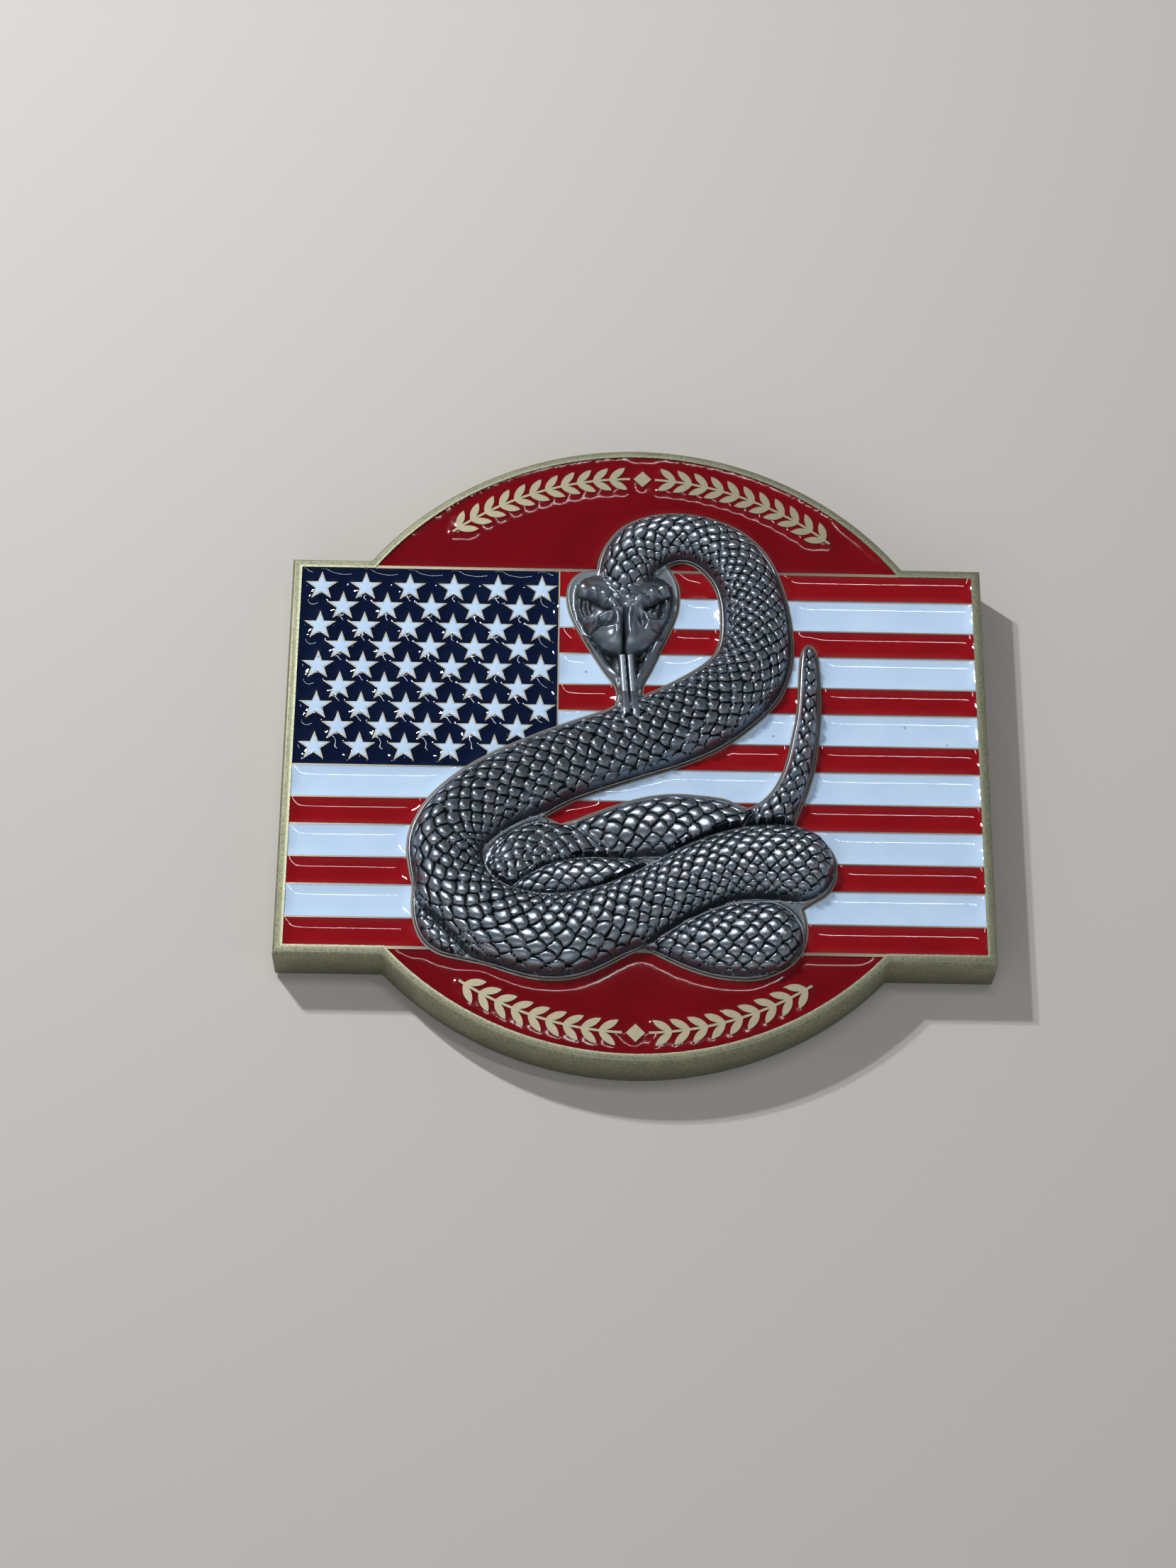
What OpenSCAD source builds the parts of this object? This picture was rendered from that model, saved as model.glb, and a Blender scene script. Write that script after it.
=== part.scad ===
// Challenge coin: a die-struck brass plate in the outline of a disc behind a
// flag panel, with soft enamel poured into recessed cells and a separately
// cast coiled snake seated in a pocket on the obverse.
// Frame: origin on the reverse face under the centre of the disc, +X along the
// flag's length, +Y towards the top of the design, +Z out of the obverse.

/* [Plate] */
// Overall width, which is the length of the flag panel
overall_w = 50.8; // [50:0.1:53]
// Height of the flag panel over its rim
flag_h = 31.5; // [31.3:0.1:32.4]
// Distance from the disc's centre down to the middle of the flag panel
flag_drop = 1.06; // [0.9:0.01:1.2]
// Outside radius of the disc
disc_r = 24.5; // [24.3:0.1:25.2]
// Thickness of the plate at its rim
coin_t = 4.0; // [3.2:0.1:5]
// Width of the raised rim round the enamel
rim_w = 0.7; // [0.6:0.05:0.9]
// Radius of the rounded edges of the rim
edge_r = 0.35; // [0.2:0.05:0.45]
// Width of the smooth raised margin on the reverse
back_rim_w = 1.6; // [1.2:0.1:2.4]
// Depth of the plain field on the reverse
back_recess = 0.3; // [0.1:0.05:0.5]

/* [Cells] */
// Depth of the enamel cells below the rim
cell_depth = 0.9; // [0.6:0.05:1.2]
// Width of the fine raised lines between the cells
line_w = 0.1; // [0.08:0.01:0.16]
// Width of the heavier raised lines above and below the flag
divider_w = 0.22; // [0.15:0.01:0.3]
// How far the raised lines stop below the rim
line_drop = 0.06; // [0.02:0.01:0.15]
// How far the middle of the enamel lies below the rim
enamel_drop = 0.3; // [0.2:0.01:0.45]
// Radius of each star over its raised outline
star_r = 1.22; // [1.1:0.01:1.24]
// Width of the raised outline round a star
star_wall = 0.07; // [0.06:0.01:0.12]

/* [Snake] */
// Width of the raised fence round the casting's pocket
fence_w = 0.13; // [0.1:0.01:0.18]
// Clearance between the casting and its pocket, each side
seat_gap = 0.03; // [0.02:0.01:0.05]
// Width of the flat flange round the casting's relief
flange_w = 0.42; // [0.35:0.01:0.6]
// Height of the flange above the rim
flange_rise = 0.05; // [0:0.01:0.2]
// Scale on the height of the relief
relief_k = 1; // [0.7:0.05:1.2]
// Radius of the casting's locating pegs
peg_r = 0.8; // [0.6:0.05:1]
// Length of the pegs below the casting's seat
peg_len = 1.1; // [0.8:0.1:1.4]
// Radial clearance of a peg in its socket
peg_gap = 0.05; // [0.03:0.01:0.1]

/* [Ornament] */
// Radius of the stem of the upper leaf band
band_top_r = 22.0; // [21.8:0.05:22.2]
// Radius of the stem of the lower leaf band
band_low_r = 22.3; // [22.1:0.05:22.4]
// Length of one leaf
leaf_l = 1.6; // [1.2:0.05:1.7]
// Width of one leaf
leaf_w = 0.56; // [0.4:0.02:0.6]

/* [Hidden] */
$fn = 96;
e = 0.01;

// Levels
floor_z = coin_t - cell_depth;      // bottom of the cells and of the snake's pocket
line_z = coin_t - line_drop;        // top of the raised lines
enamel_z = coin_t - enamel_drop;    // top of the enamel
flange_z = coin_t + flange_rise;    // top of the casting's flange

// Flag panel: inner edges of the rim
fx = overall_w / 2 - rim_w;
fy1 = flag_h / 2 - rim_w - flag_drop;
fy0 = -flag_h / 2 + rim_w - flag_drop;
disc_in = disc_r - 0.63;
n_stripes = 13;
red_h = 2.13;
white_h = (fy1 - fy0 - 7 * red_h) / 6;
pitch = red_h + white_h;
// Lower edge of the canton, which covers the top seven stripes
canton_x = -5.72;
canton_y = fy1 - 3 * pitch - red_h;
function stripe_top(i) = fy1 - floor(i / 2) * pitch - (i % 2) * red_h;
function stripe_low(i) = i == n_stripes - 1 ? fy0
                       : fy1 - floor((i + 1) / 2) * pitch - ((i + 1) % 2) * red_h;
star_pitch_x = 3.24;
star_pitch_y = 1.637;
star_x0 = -23.2;
star_y0 = 12.4;

// Outline of the casting, anticlockwise from the back of the head.
// The third value is 1 where the outline has a corner.
snake_outline = [
  [-3, 14.2, 1], [-4, 14, 0], [-4.8, 13.4, 0], [-5.2, 12.3, 0], [-5.1, 10.9, 0],
  [-4.7, 9.7, 0], [-4, 8.3, 0], [-3.2, 6.9, 0], [-2.4, 5.6, 0], [-1.7, 4.6, 0],
  [-1.5, 3.8, 0], [-1.6, 3, 1], [-2.6, 2.5, 0], [-4.2, 1.9, 0], [-6.2, 1.1, 0],
  [-8.2, 0.2, 0], [-10.2, -0.8, 0], [-12, -1.9, 0], [-13.6, -3.2, 0], [-14.9, -4.6, 0],
  [-15.7, -6, 0], [-16.2, -7.4, 0], [-16.3, -8.8, 0], [-16.1, -10.2, 0], [-15.8, -11.6, 1],
  [-15.8, -13.3, 0], [-15.5, -14.8, 0], [-14.9, -15.9, 0], [-13.8, -16.7, 0], [-12.2, -17.1, 0],
  [-10.4, -17.5, 0], [-8.6, -18.1, 0], [-6.8, -18.5, 0], [-5, -18.5, 0], [-3.4, -18.1, 0],
  [-1.8, -17.3, 0], [-0.4, -16.5, 0], [0.6, -16.1, 1], [1.8, -16.7, 0], [3.2, -17.4, 0],
  [4.9, -18, 0], [6.6, -18.3, 0], [8.4, -18.3, 0], [9.9, -17.8, 0], [11.1, -17, 0],
  [11.8, -16, 0], [12.1, -14.9, 0], [12.1, -13.9, 0], [11.9, -12.9, 1], [12.6, -12.4, 0],
  [13.5, -11.8, 0], [14.1, -10.9, 0], [14.3, -9.6, 0], [14, -8.4, 0], [13.2, -7.4, 0],
  [12.2, -6.7, 0], [11.4, -6.3, 1], [11.7, -5.4, 0], [12.3, -3.9, 0], [12.9, -1.8, 0],
  [13.2, 0.4, 0], [13.4, 2.6, 0], [13.4, 5, 0], [13.3, 6.8, 0], [13.1, 7.8, 0],
  [12.5, 8.2, 0], [12, 7.6, 0], [11.8, 6, 0], [11.7, 4.2, 0], [11.5, 2.2, 0],
  [11.1, 0.2, 0], [10.7, -1.5, 0], [10.2, -2.8, 0], [9.6, -3.8, 0], [8.8, -4.6, 0],
  [8, -5, 1], [7.2, -4.7, 0], [6.2, -4.3, 0], [4.6, -4.1, 0], [2.8, -4, 0],
  [1, -4.2, 0], [-0.8, -4.7, 0], [-2.4, -5.3, 0], [-4, -6, 0], [-5.4, -6.5, 1],
  [-6.4, -6, 1], [-5.2, -5.2, 0], [-3.8, -4.5, 0], [-1.5, -3.6, 0], [1, -2.7, 0],
  [3, -2, 0], [4.8, -1.2, 0], [6.4, -0.3, 0], [7.8, 0.8, 0], [9.3, 2.2, 0],
  [10.5, 3.7, 0], [11.2, 5.5, 0], [11.5, 7.2, 0], [11.5, 8.8, 0], [11.3, 10.7, 0],
  [10.9, 12.7, 0], [10.2, 14.7, 0], [9.3, 16.2, 0], [8, 17.5, 0], [6.4, 18.4, 0],
  [4.8, 18.9, 0], [3.2, 19.1, 0], [1.6, 19, 0], [0.2, 18.6, 0], [-1.2, 17.8, 0],
  [-2.3, 16.4, 0], [-2.8, 15.2, 0]];
// Opening between the neck's arch and the head, clockwise
loop_outline = [
  [2.4, 14.5, 1], [3.2, 14.8, 0], [4.1, 14.6, 0], [4.9, 13.9, 0], [5.6, 12.9, 0],
  [6, 11.5, 0], [6.1, 10, 0], [6, 8.5, 0], [5.6, 7.3, 0], [4.6, 6.3, 0],
  [3.1, 5.3, 0], [1.7, 4.5, 0], [0.5, 3.9, 1], [0.6, 4.7, 0], [1.1, 5.7, 0],
  [1.6, 6.9, 0], [2.2, 8.3, 0], [2.7, 9.5, 0], [3.1, 10.8, 0], [3.2, 12.2, 0],
  [3, 13.3, 0]];

// Centre lines of the relief: x, y, half width of the coil, height over the flange
body_line = [
  [-1, 12.6, 1.5, 0.9], [-0.6, 14.4, 2, 1.2], [0.2, 15.8, 2.2, 1.3], [1.5, 16.7, 2.2, 1.3],
  [3.2, 17, 2.1, 1.3], [5, 16.6, 2.2, 1.3], [6.6, 15.5, 2.4, 1.3], [7.8, 13.9, 2.5, 1.4],
  [8.5, 12, 2.6, 1.4], [8.8, 10, 2.7, 1.4], [8.7, 8, 2.8, 1.4], [8, 6, 2.9, 1.4],
  [6.4, 3.9, 2.9, 1.5], [4.4, 2.3, 3, 1.5], [2.2, 1.1, 3, 1.5], [-0.4, 0.1, 3.1, 1.5],
  [-3.1, -1, 3.1, 1.5], [-5.2, -1.9, 3.1, 1.5], [-7.3, -2.8, 3.1, 1.5], [-9.2, -3.7, 3, 1.5],
  [-10.9, -4.8, 2.9, 1.5], [-12.4, -6.1, 2.9, 1.5], [-13.3, -7.7, 2.8, 1.5], [-13.5, -9.4, 2.8, 1.5],
  [-13, -11.2, 2.8, 1.5], [-12, -12.6, 2.8, 1.5], [-10.7, -13.7, 2.9, 1.5], [-9, -14.6, 3.1, 1.6],
  [-6.5, -15.2, 3.3, 1.6], [-4, -15, 3.2, 1.6], [-1.7, -14.1, 2.9, 1.6], [0.4, -12.9, 2.7, 1.6],
  [2.4, -11.7, 2.6, 1.6], [4.6, -10.5, 2.7, 1.6], [7, -9.6, 2.8, 1.6], [9.4, -9.3, 3, 1.6],
  [11.2, -9.4, 3, 1.6], [12.6, -9.5, 2.6, 1.3], [13.5, -9.6, 1.6, 0.7], [13.8, -9.6, 0.9, 0.2]];
coil_line = [
  [-4.4, -7.6, 1.6, 0.3], [-3, -7.4, 2.1, 0.9], [-0.8, -6.9, 2.4, 1.1], [1.6, -6.6, 2.6, 1.2],
  [4, -6.6, 2.6, 1.2], [6.4, -7.1, 2.6, 1.1], [8.4, -8, 2.8, 1]];
inner_line = [
  [-4.6, -8.2, 1.5, 0.5], [-6.4, -8.3, 1.9, 0.8], [-8, -9, 2, 0.8], [-9.2, -9.6, 1.5, 0.5]];
lens_line = [
  [-7.6, -11, 0.6, 0.2], [-5.8, -10.6, 1.1, 0.7], [-3.8, -10.3, 1.4, 0.9], [-1.6, -10.2, 1.4, 0.9],
  [0.2, -10.3, 1.1, 0.7]];
lower_line = [
  [2, -15.9, 0.9, 0.2], [3.4, -15.7, 1.6, 0.8], [5.2, -15.5, 2.4, 1.1], [7.2, -15.3, 2.9, 1.2],
  [9.2, -15.1, 2.9, 1.2], [10.6, -15, 2.3, 1], [11.4, -14.9, 1.4, 0.5]];
heel_line = [
  [-15, -12.4, 0.8, 0.2], [-15, -13.8, 1, 0.6], [-14.4, -15, 1.1, 0.7], [-13.4, -15.9, 1.1, 0.6],
  [-12.4, -16.4, 0.9, 0.3]];
tail_line = [
  [9.5, -6.6, 1.6, 0.8], [10.2, -5.4, 1.5, 1], [11, -3.6, 1.4, 1], [11.6, -1.6, 1.3, 1],
  [12, 0.4, 1.1, 0.9], [12.4, 2.4, 1, 0.9], [12.6, 4.4, 0.9, 0.8], [12.6, 6.2, 0.8, 0.7],
  [12.6, 7.4, 0.6, 0.3]];
head_line = [
  [-1, 14.3, 2.6, 0.5], [-1, 13.4, 3.9, 1.4], [-1, 12.2, 4.1, 1.8], [-1, 10.9, 3.9, 1.9],
  [-0.9, 9.7, 3.2, 1.9], [-0.8, 8.6, 2.4, 1.7], [-0.8, 7.7, 1.9, 1.1], [-0.8, 7.3, 1.2, 0.4]];
tongue_line = [
  [-0.7, 7.8, 0.8, 0.9], [-0.6, 6, 0.8, 0.8], [-0.5, 4, 0.9, 1.4], [-0.4, 2.9, 0.9, 1.7],
  [-0.4, 2.2, 0.8, 1.8]];
brow_lines = [
  [[-4.4, 12.4, 0.9, 1.2], [-3.4, 11.9, 0.9, 2], [-2.3, 11.2, 0.8, 2.2], [-1.6, 10.4, 0.7, 1.9]],
  [[2.6, 12.8, 0.9, 1.2], [1.6, 12.2, 0.9, 2], [0.5, 11.3, 0.8, 2.2], [-0.1, 10.4, 0.7, 1.9]]];
peg_spots = [[3.2, 16.9], [-9, -4], [9, -9.4]];

// Curves: a point on the cubic between p1 and p2, with corners kept sharp
function hermite(p1, p2, m1, m2, t) =
  (2 * pow(t, 3) - 3 * pow(t, 2) + 1) * p1 + (pow(t, 3) - 2 * pow(t, 2) + t) * m1
  + (-2 * pow(t, 3) + 3 * pow(t, 2)) * p2 + (pow(t, 3) - pow(t, 2)) * m2;
function xy(p) = [p[0], p[1]];
function at(P, i) = P[(i + len(P)) % len(P)];
function corner(P, i) = at(P, i)[2] == 1;
function smooth_loop(P, n) = [
  for (i = [0 : len(P) - 1], k = [0 : n - 1])
    let (a = xy(at(P, i)), b = xy(at(P, i + 1)),
         m1 = corner(P, i) ? b - a : (b - xy(at(P, i - 1))) / 2,
         m2 = corner(P, i + 1) ? b - a : (xy(at(P, i + 2)) - a) / 2)
      hermite(a, b, m1, m2, k / n)];
// A loop moved by d to its left, by the mean direction of the edges at each point
function unit(v) = v / norm(v);
function inset(L, d) = [
  for (i = [0 : len(L) - 1])
    let (u = unit(at(L, i) - at(L, i - 1)), v = unit(at(L, i + 1) - at(L, i)),
         t = unit(u + v), c = max(0.6, t * u))
      at(L, i) + d / c * [-t[1], t[0]]];
function smooth_line(P, n) = [
  for (i = [0 : len(P) - 2], k = [0 : n - 1])
    let (m1 = i == 0 ? P[1] - P[0] : (P[i + 1] - P[i - 1]) / 2,
         m2 = i == len(P) - 2 ? P[i + 1] - P[i] : (P[i + 2] - P[i]) / 2)
      hermite(P[i], P[i + 1], m1, m2, k / n),
  P[len(P) - 1]];

outer_loop = smooth_loop(snake_outline, 3);
inner_loop = smooth_loop(loop_outline, 3);

module snake_shape(d = 0) {
  difference() {
    polygon(d == 0 ? outer_loop : inset(outer_loop, d));
    polygon(d == 0 ? inner_loop : inset(inner_loop, d));
  }
}

// Rounded corner of the plate's section, from the side round to the face
function edge_profile(w, t) = concat(
  [for (a = [0 : 22.5 : 90]) [w - edge_r + edge_r * cos(a), t - edge_r + edge_r * sin(a)]],
  [for (a = [90 : 22.5 : 180]) [-w + edge_r + edge_r * cos(a), t - edge_r + edge_r * sin(a)]],
  [for (a = [180 : 22.5 : 270]) [-w + edge_r + edge_r * cos(a), edge_r + edge_r * sin(a)]],
  [for (a = [270 : 22.5 : 360]) [w - edge_r + edge_r * cos(a), edge_r + edge_r * sin(a)]]);

module disc_blank() {
  rotate_extrude()
    intersection() {
      polygon(edge_profile(disc_r, coin_t));
      square([disc_r + 1, coin_t]);
    }
}

module flag_blank() {
  translate([0, -flag_drop, 0])
    intersection() {
      translate([0, flag_h / 2, 0]) rotate([90, 0, 0])
        linear_extrude(flag_h) polygon(edge_profile(overall_w / 2, coin_t));
      translate([-overall_w / 2, 0, 0]) rotate([90, 0, 90])
        linear_extrude(overall_w) polygon(edge_profile(flag_h / 2, coin_t));
    }
}

module ring_band(r0, r1) {
  difference() { circle(r1); circle(r0); }
}

// A wedge from angle a0 to a1, out to radius r
module wedge(a0, a1, r) {
  polygon(concat([[0, 0]], [for (k = [0 : 6]) let (a = a0 + (a1 - a0) * k / 6) r * [cos(a), sin(a)]]));
}

// Leaf with pointed ends, lying along +X from the origin
module leaf() {
  r = (pow(leaf_l / 2, 2) + pow(leaf_w / 2, 2)) / leaf_w;
  translate([leaf_l / 2, 0])
    intersection() {
      translate([0, r - leaf_w / 2]) circle(r);
      translate([0, -r + leaf_w / 2]) circle(r);
    }
}

// Two leafy stems that grow from the ends of an arc towards a diamond in its
// middle: radius of the stem, middle angle, half span, and pairs on each stem
module leaf_band(r, mid, half, pairs) {
  step = (half - 3.4) / pairs;
  intersection() {
    ring_band(r - 0.09, r + 0.09);
    union() {
      wedge(mid - half - 1, mid - 2.4, r + 3);
      wedge(mid + 2.4, mid + half + 1, r + 3);
    }
  }
  for (s = [-1, 1], k = [0 : pairs - 1], side = [-1, 1])
    let (a = mid + s * (half - step * k))
      rotate(a) translate([r, 0]) rotate(-s * 90 + s * side * 36)
        translate([0.02, 0]) leaf();
  rotate(mid) translate([r, 0]) rotate(45) square(0.95, center = true);
}
module top_ornament() { leaf_band(band_top_r, 89, 38.5, 11); }
module bottom_ornament() { leaf_band(band_low_r, -90, 32.5, 9); }

// Star with one point towards +Y
module star(r) {
  polygon([for (k = [0 : 9]) let (q = k % 2 == 0 ? r : r * 0.4) q * [cos(90 + 36 * k), sin(90 + 36 * k)]]);
}
star_in = star_r * (1 - star_wall / (0.33 * star_r));
module stars(r) {
  for (row = [0 : 8], col = [0 : (row % 2 == 0 ? 5 : 4)])
    if (!(row == 8 && col == 5))
      translate([star_x0 + star_pitch_x * (col + (row % 2) / 2), star_y0 - star_pitch_y * row]) star(r);
}

module rect(x0, y0, x1, y1) { translate([x0, y0]) square([x1 - x0, y1 - y0]); }

// Plan of each cell, before the snake is taken out
module top_panel_plan() {
  difference() {
    intersection() { circle(disc_in); rect(-disc_r, fy1 + divider_w, disc_r, disc_r); }
    top_ornament();
  }
}
module bottom_panel_plan() {
  difference() {
    intersection() { circle(disc_in); rect(-disc_r, -disc_r, disc_r, fy0 - divider_w); }
    bottom_ornament();
  }
}
module canton_plan() {
  difference() {
    rect(-fx, canton_y + line_w / 2, canton_x - line_w / 2, fy1);
    stars(star_r);
  }
}
module stripe_plan(i) {
  rect(stripe_low(i) >= canton_y - 0.01 ? canton_x + line_w / 2 : -fx,
       stripe_low(i) + (i == n_stripes - 1 ? 0 : line_w / 2), fx,
       stripe_top(i) - (i == 0 ? 0 : line_w / 2));
}

// One pour of enamel
module pour() {
  translate([0, 0, floor_z])
    linear_extrude(enamel_z - floor_z)
      difference() { children(); snake_shape(); }
}

module coin_body() color([0.62, 0.58, 0.4]) {
  difference() {
    union() { disc_blank(); flag_blank(); }
    // enamel cells
    translate([0, 0, floor_z]) linear_extrude(cell_depth + 1)
      difference() { union() { top_panel_plan(); bottom_panel_plan(); } snake_shape(); }
    translate([0, 0, floor_z]) linear_extrude(cell_depth + 1)
      difference() { canton_plan(); snake_shape(); }
    translate([0, 0, floor_z]) linear_extrude(cell_depth + 1)
      difference() { stars(star_in); snake_shape(); }
    for (i = [0 : n_stripes - 1])
      translate([0, 0, floor_z]) linear_extrude(cell_depth + 1)
        difference() { stripe_plan(i); snake_shape(); }
    // pocket and sockets for the casting
    translate([0, 0, floor_z]) linear_extrude(cell_depth + 1) snake_shape(fence_w);
    for (p = peg_spots)
      translate([p[0], p[1], floor_z - peg_len - 0.2]) cylinder(r = peg_r + peg_gap, h = peg_len + 1);
    // the raised lines stop a little below the rim
    translate([0, 0, line_z]) linear_extrude(2) {
      intersection() { circle(disc_in); rect(-disc_r, fy1 + 0.1, disc_r, disc_r); }
      intersection() { circle(disc_in); rect(-disc_r, -disc_r, disc_r, fy0 - 0.1); }
      rect(-fx, fy0, fx, fy1);
      intersection() { circle(disc_in); rect(-disc_r, fy0 - 1, disc_r, fy1 + 1); }
    }
    // plain field on the reverse
    translate([0, 0, -1]) linear_extrude(1 + back_recess) {
      circle(disc_r - back_rim_w);
      rect(-overall_w / 2 + back_rim_w, -flag_h / 2 - flag_drop + back_rim_w,
           overall_w / 2 - back_rim_w, flag_h / 2 - flag_drop - back_rim_w);
    }
  }
}

// A domed coil along a line: one ring across the coil at each point
dome_n = 8;
module dome(P, n, z = flange_z - 0.3) {
  L = smooth_line(P, n);
  N = len(L);
  m = dome_n + 1;
  pts = [
    for (i = [0 : N - 1])
      let (t = unit(xy(L[min(i + 1, N - 1)]) - xy(L[max(i - 1, 0)])),
           w = max(0.15, L[i][2] - flange_w), h = L[i][3] * relief_k + flange_z - z)
        for (k = [0 : dome_n])
          let (a = 180 * k / dome_n)
            [L[i][0] - t[1] * w * cos(a), L[i][1] + t[0] * w * cos(a), z + h * pow(sin(a), 0.8)]];
  polyhedron(pts, concat(
    [[for (k = [0 : m - 1]) k]],
    [[for (k = [m - 1 : -1 : 0]) (N - 1) * m + k]],
    [for (i = [0 : N - 2], k = [0 : m - 1]) [i * m + k, (i + 1) * m + k, i * m + (k + 1) % m]],
    [for (i = [0 : N - 2], k = [0 : m - 1]) [(i + 1) * m + k, (i + 1) * m + (k + 1) % m, i * m + (k + 1) % m]]));
}

module snake_emblem() color([0.24, 0.25, 0.26]) {
  translate([0, 0, floor_z]) linear_extrude(flange_z - floor_z) snake_shape(fence_w + seat_gap);
  for (p = peg_spots)
    translate([p[0], p[1], floor_z - peg_len]) cylinder(r = peg_r, h = peg_len + 0.2);
  dome(body_line, 2);
  dome(coil_line, 2);
  dome(inner_line, 2);
  dome(lens_line, 2);
  dome(lower_line, 2);
  dome(heel_line, 2);
  dome(tail_line, 2);
  dome(head_line, 2);
  dome(tongue_line, 2);
  for (b = brow_lines) dome(b, 2);
}

module top_panel_enamel() color([0.36, 0.03, 0.05]) pour() top_panel_plan();
module bottom_panel_enamel() color([0.36, 0.03, 0.05]) pour() bottom_panel_plan();
module canton_enamel() color([0.04, 0.07, 0.2]) pour() canton_plan();
module star_enamel() color([0.8, 0.87, 0.97]) pour() stars(star_in);
module stripe_enamel(i) color(i % 2 == 0 ? [0.5, 0.04, 0.06] : [0.8, 0.87, 0.97]) pour() stripe_plan(i);

coin_body();
snake_emblem();
top_panel_enamel();
bottom_panel_enamel();
canton_enamel();
star_enamel();
stripe_enamel(0);  // stripe_01_red_enamel
stripe_enamel(1);  // stripe_02_white_enamel
stripe_enamel(2);  // stripe_03_red_enamel
stripe_enamel(3);  // stripe_04_white_enamel
stripe_enamel(4);  // stripe_05_red_enamel
stripe_enamel(5);  // stripe_06_white_enamel
stripe_enamel(6);  // stripe_07_red_enamel
stripe_enamel(7);  // stripe_08_white_enamel
stripe_enamel(8);  // stripe_09_red_enamel
stripe_enamel(9);  // stripe_10_white_enamel
stripe_enamel(10);  // stripe_11_red_enamel
stripe_enamel(11);  // stripe_12_white_enamel
stripe_enamel(12);  // stripe_13_red_enamel
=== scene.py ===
"""Looks of a challenge coin: a struck brass plate with soft enamel cells and a cast, antiqued snake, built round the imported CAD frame."""
import math

import bpy
import bmesh
import numpy as np
from mathutils import Matrix, Vector
from mathutils.geometry import delaunay_2d_cdt
from mathutils.kdtree import KDTree


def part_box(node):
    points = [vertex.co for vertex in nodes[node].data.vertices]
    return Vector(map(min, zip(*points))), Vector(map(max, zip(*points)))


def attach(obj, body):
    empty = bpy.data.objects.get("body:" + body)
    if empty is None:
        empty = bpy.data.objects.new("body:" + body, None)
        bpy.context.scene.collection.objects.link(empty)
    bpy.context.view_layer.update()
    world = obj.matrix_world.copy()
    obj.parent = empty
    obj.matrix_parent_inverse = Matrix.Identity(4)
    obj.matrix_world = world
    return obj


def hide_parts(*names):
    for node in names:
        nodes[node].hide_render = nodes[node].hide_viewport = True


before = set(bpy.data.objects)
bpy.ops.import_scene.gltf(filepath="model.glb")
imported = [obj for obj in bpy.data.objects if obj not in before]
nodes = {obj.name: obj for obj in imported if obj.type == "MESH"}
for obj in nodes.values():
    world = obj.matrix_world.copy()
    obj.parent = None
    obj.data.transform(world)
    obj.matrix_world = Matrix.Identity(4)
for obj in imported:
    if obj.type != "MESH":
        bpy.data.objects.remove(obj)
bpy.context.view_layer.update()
scene = bpy.context.scene
MM = .001

# Levels of the plate, in mm, as the CAD has them
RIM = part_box("coin_body")[1][2] * 1000
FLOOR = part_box("canton_enamel")[0][2] * 1000
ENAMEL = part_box("canton_enamel")[1][2] * 1000
LINE = RIM - .06


# ---------------------------------------------------------------- mesh tools
def inside(P, loops):
    """Even-odd test of points against closed loops."""
    P = np.asarray(P, float)
    out = np.zeros(len(P), bool)
    A = np.concatenate(loops)
    B = np.concatenate([np.roll(L, -1, 0) for L in loops])
    x0, y0, x1, y1 = A[:, 0], A[:, 1], B[:, 0], B[:, 1]
    low, high = np.minimum(y0, y1), np.maximum(y0, y1)
    order = np.argsort(P[:, 1])
    for a in range(0, len(P), 1500):
        part = order[a:a + 1500]
        px, py = P[part, :1], P[part, 1:2]
        m = (low <= py[-1]) & (high >= py[0])
        dy = y1[m] - y0[m]
        dy = np.where(np.abs(dy) < 1e-12, 1e-12, dy)
        c = ((y0[m] > py) != (y1[m] > py)) & (px < (x1[m] - x0[m]) * (py - y0[m]) / dy + x0[m])
        out[part] = c.sum(1) % 2 == 1
    return out


def edge_distance(P, loops):
    """Distance from each point to the nearest edge of the loops, whose points lie close together."""
    P = np.asarray(P, float)
    A = np.concatenate(loops)
    after = np.concatenate([np.roll(L, -1, 0) for L in loops])
    before = np.concatenate([np.roll(L, 1, 0) for L in loops])
    tree = KDTree(len(A))
    for i, (x, y) in enumerate(A.tolist()):
        tree.insert((x, y, 0), i)
    tree.balance()
    find = tree.find
    near = np.array([find((x, y, 0))[1] for x, y in P.tolist()], int)
    best = np.full(len(P), 1e9)
    for other in (after, before):
        a, e = A[near], other[near] - A[near]
        t = np.clip(((P - a) * e).sum(1) / np.maximum((e * e).sum(1), 1e-12), 0, 1)
        best = np.minimum(best, np.hypot(*(P - a - t[:, None] * e).T))
    return best


def dense(L, step):
    """A closed loop with no edge longer than step, and no tiny ones."""
    out = []
    n = len(L)
    for k in range(n):
        a, b = L[k], L[(k + 1) % n]
        m = max(1, int(math.ceil(np.hypot(*(b - a)) / step - 1e-6)))
        for j in range(m):
            out.append(a + (b - a) * j / m)
    out = np.array(out)
    keep = np.hypot(*(out - np.roll(out, 1, 0)).T) > .004
    return out[keep]


def hexgrid(lo, hi, s):
    x = np.arange(lo[0], hi[0] + s, s)
    y = np.arange(lo[1], hi[1] + s, s * .866)
    X, Y = np.meshgrid(x, y)
    X = X + (np.arange(len(y)) % 2)[:, None] * s / 2
    return np.stack([X.ravel(), Y.ravel()], 1)


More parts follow.
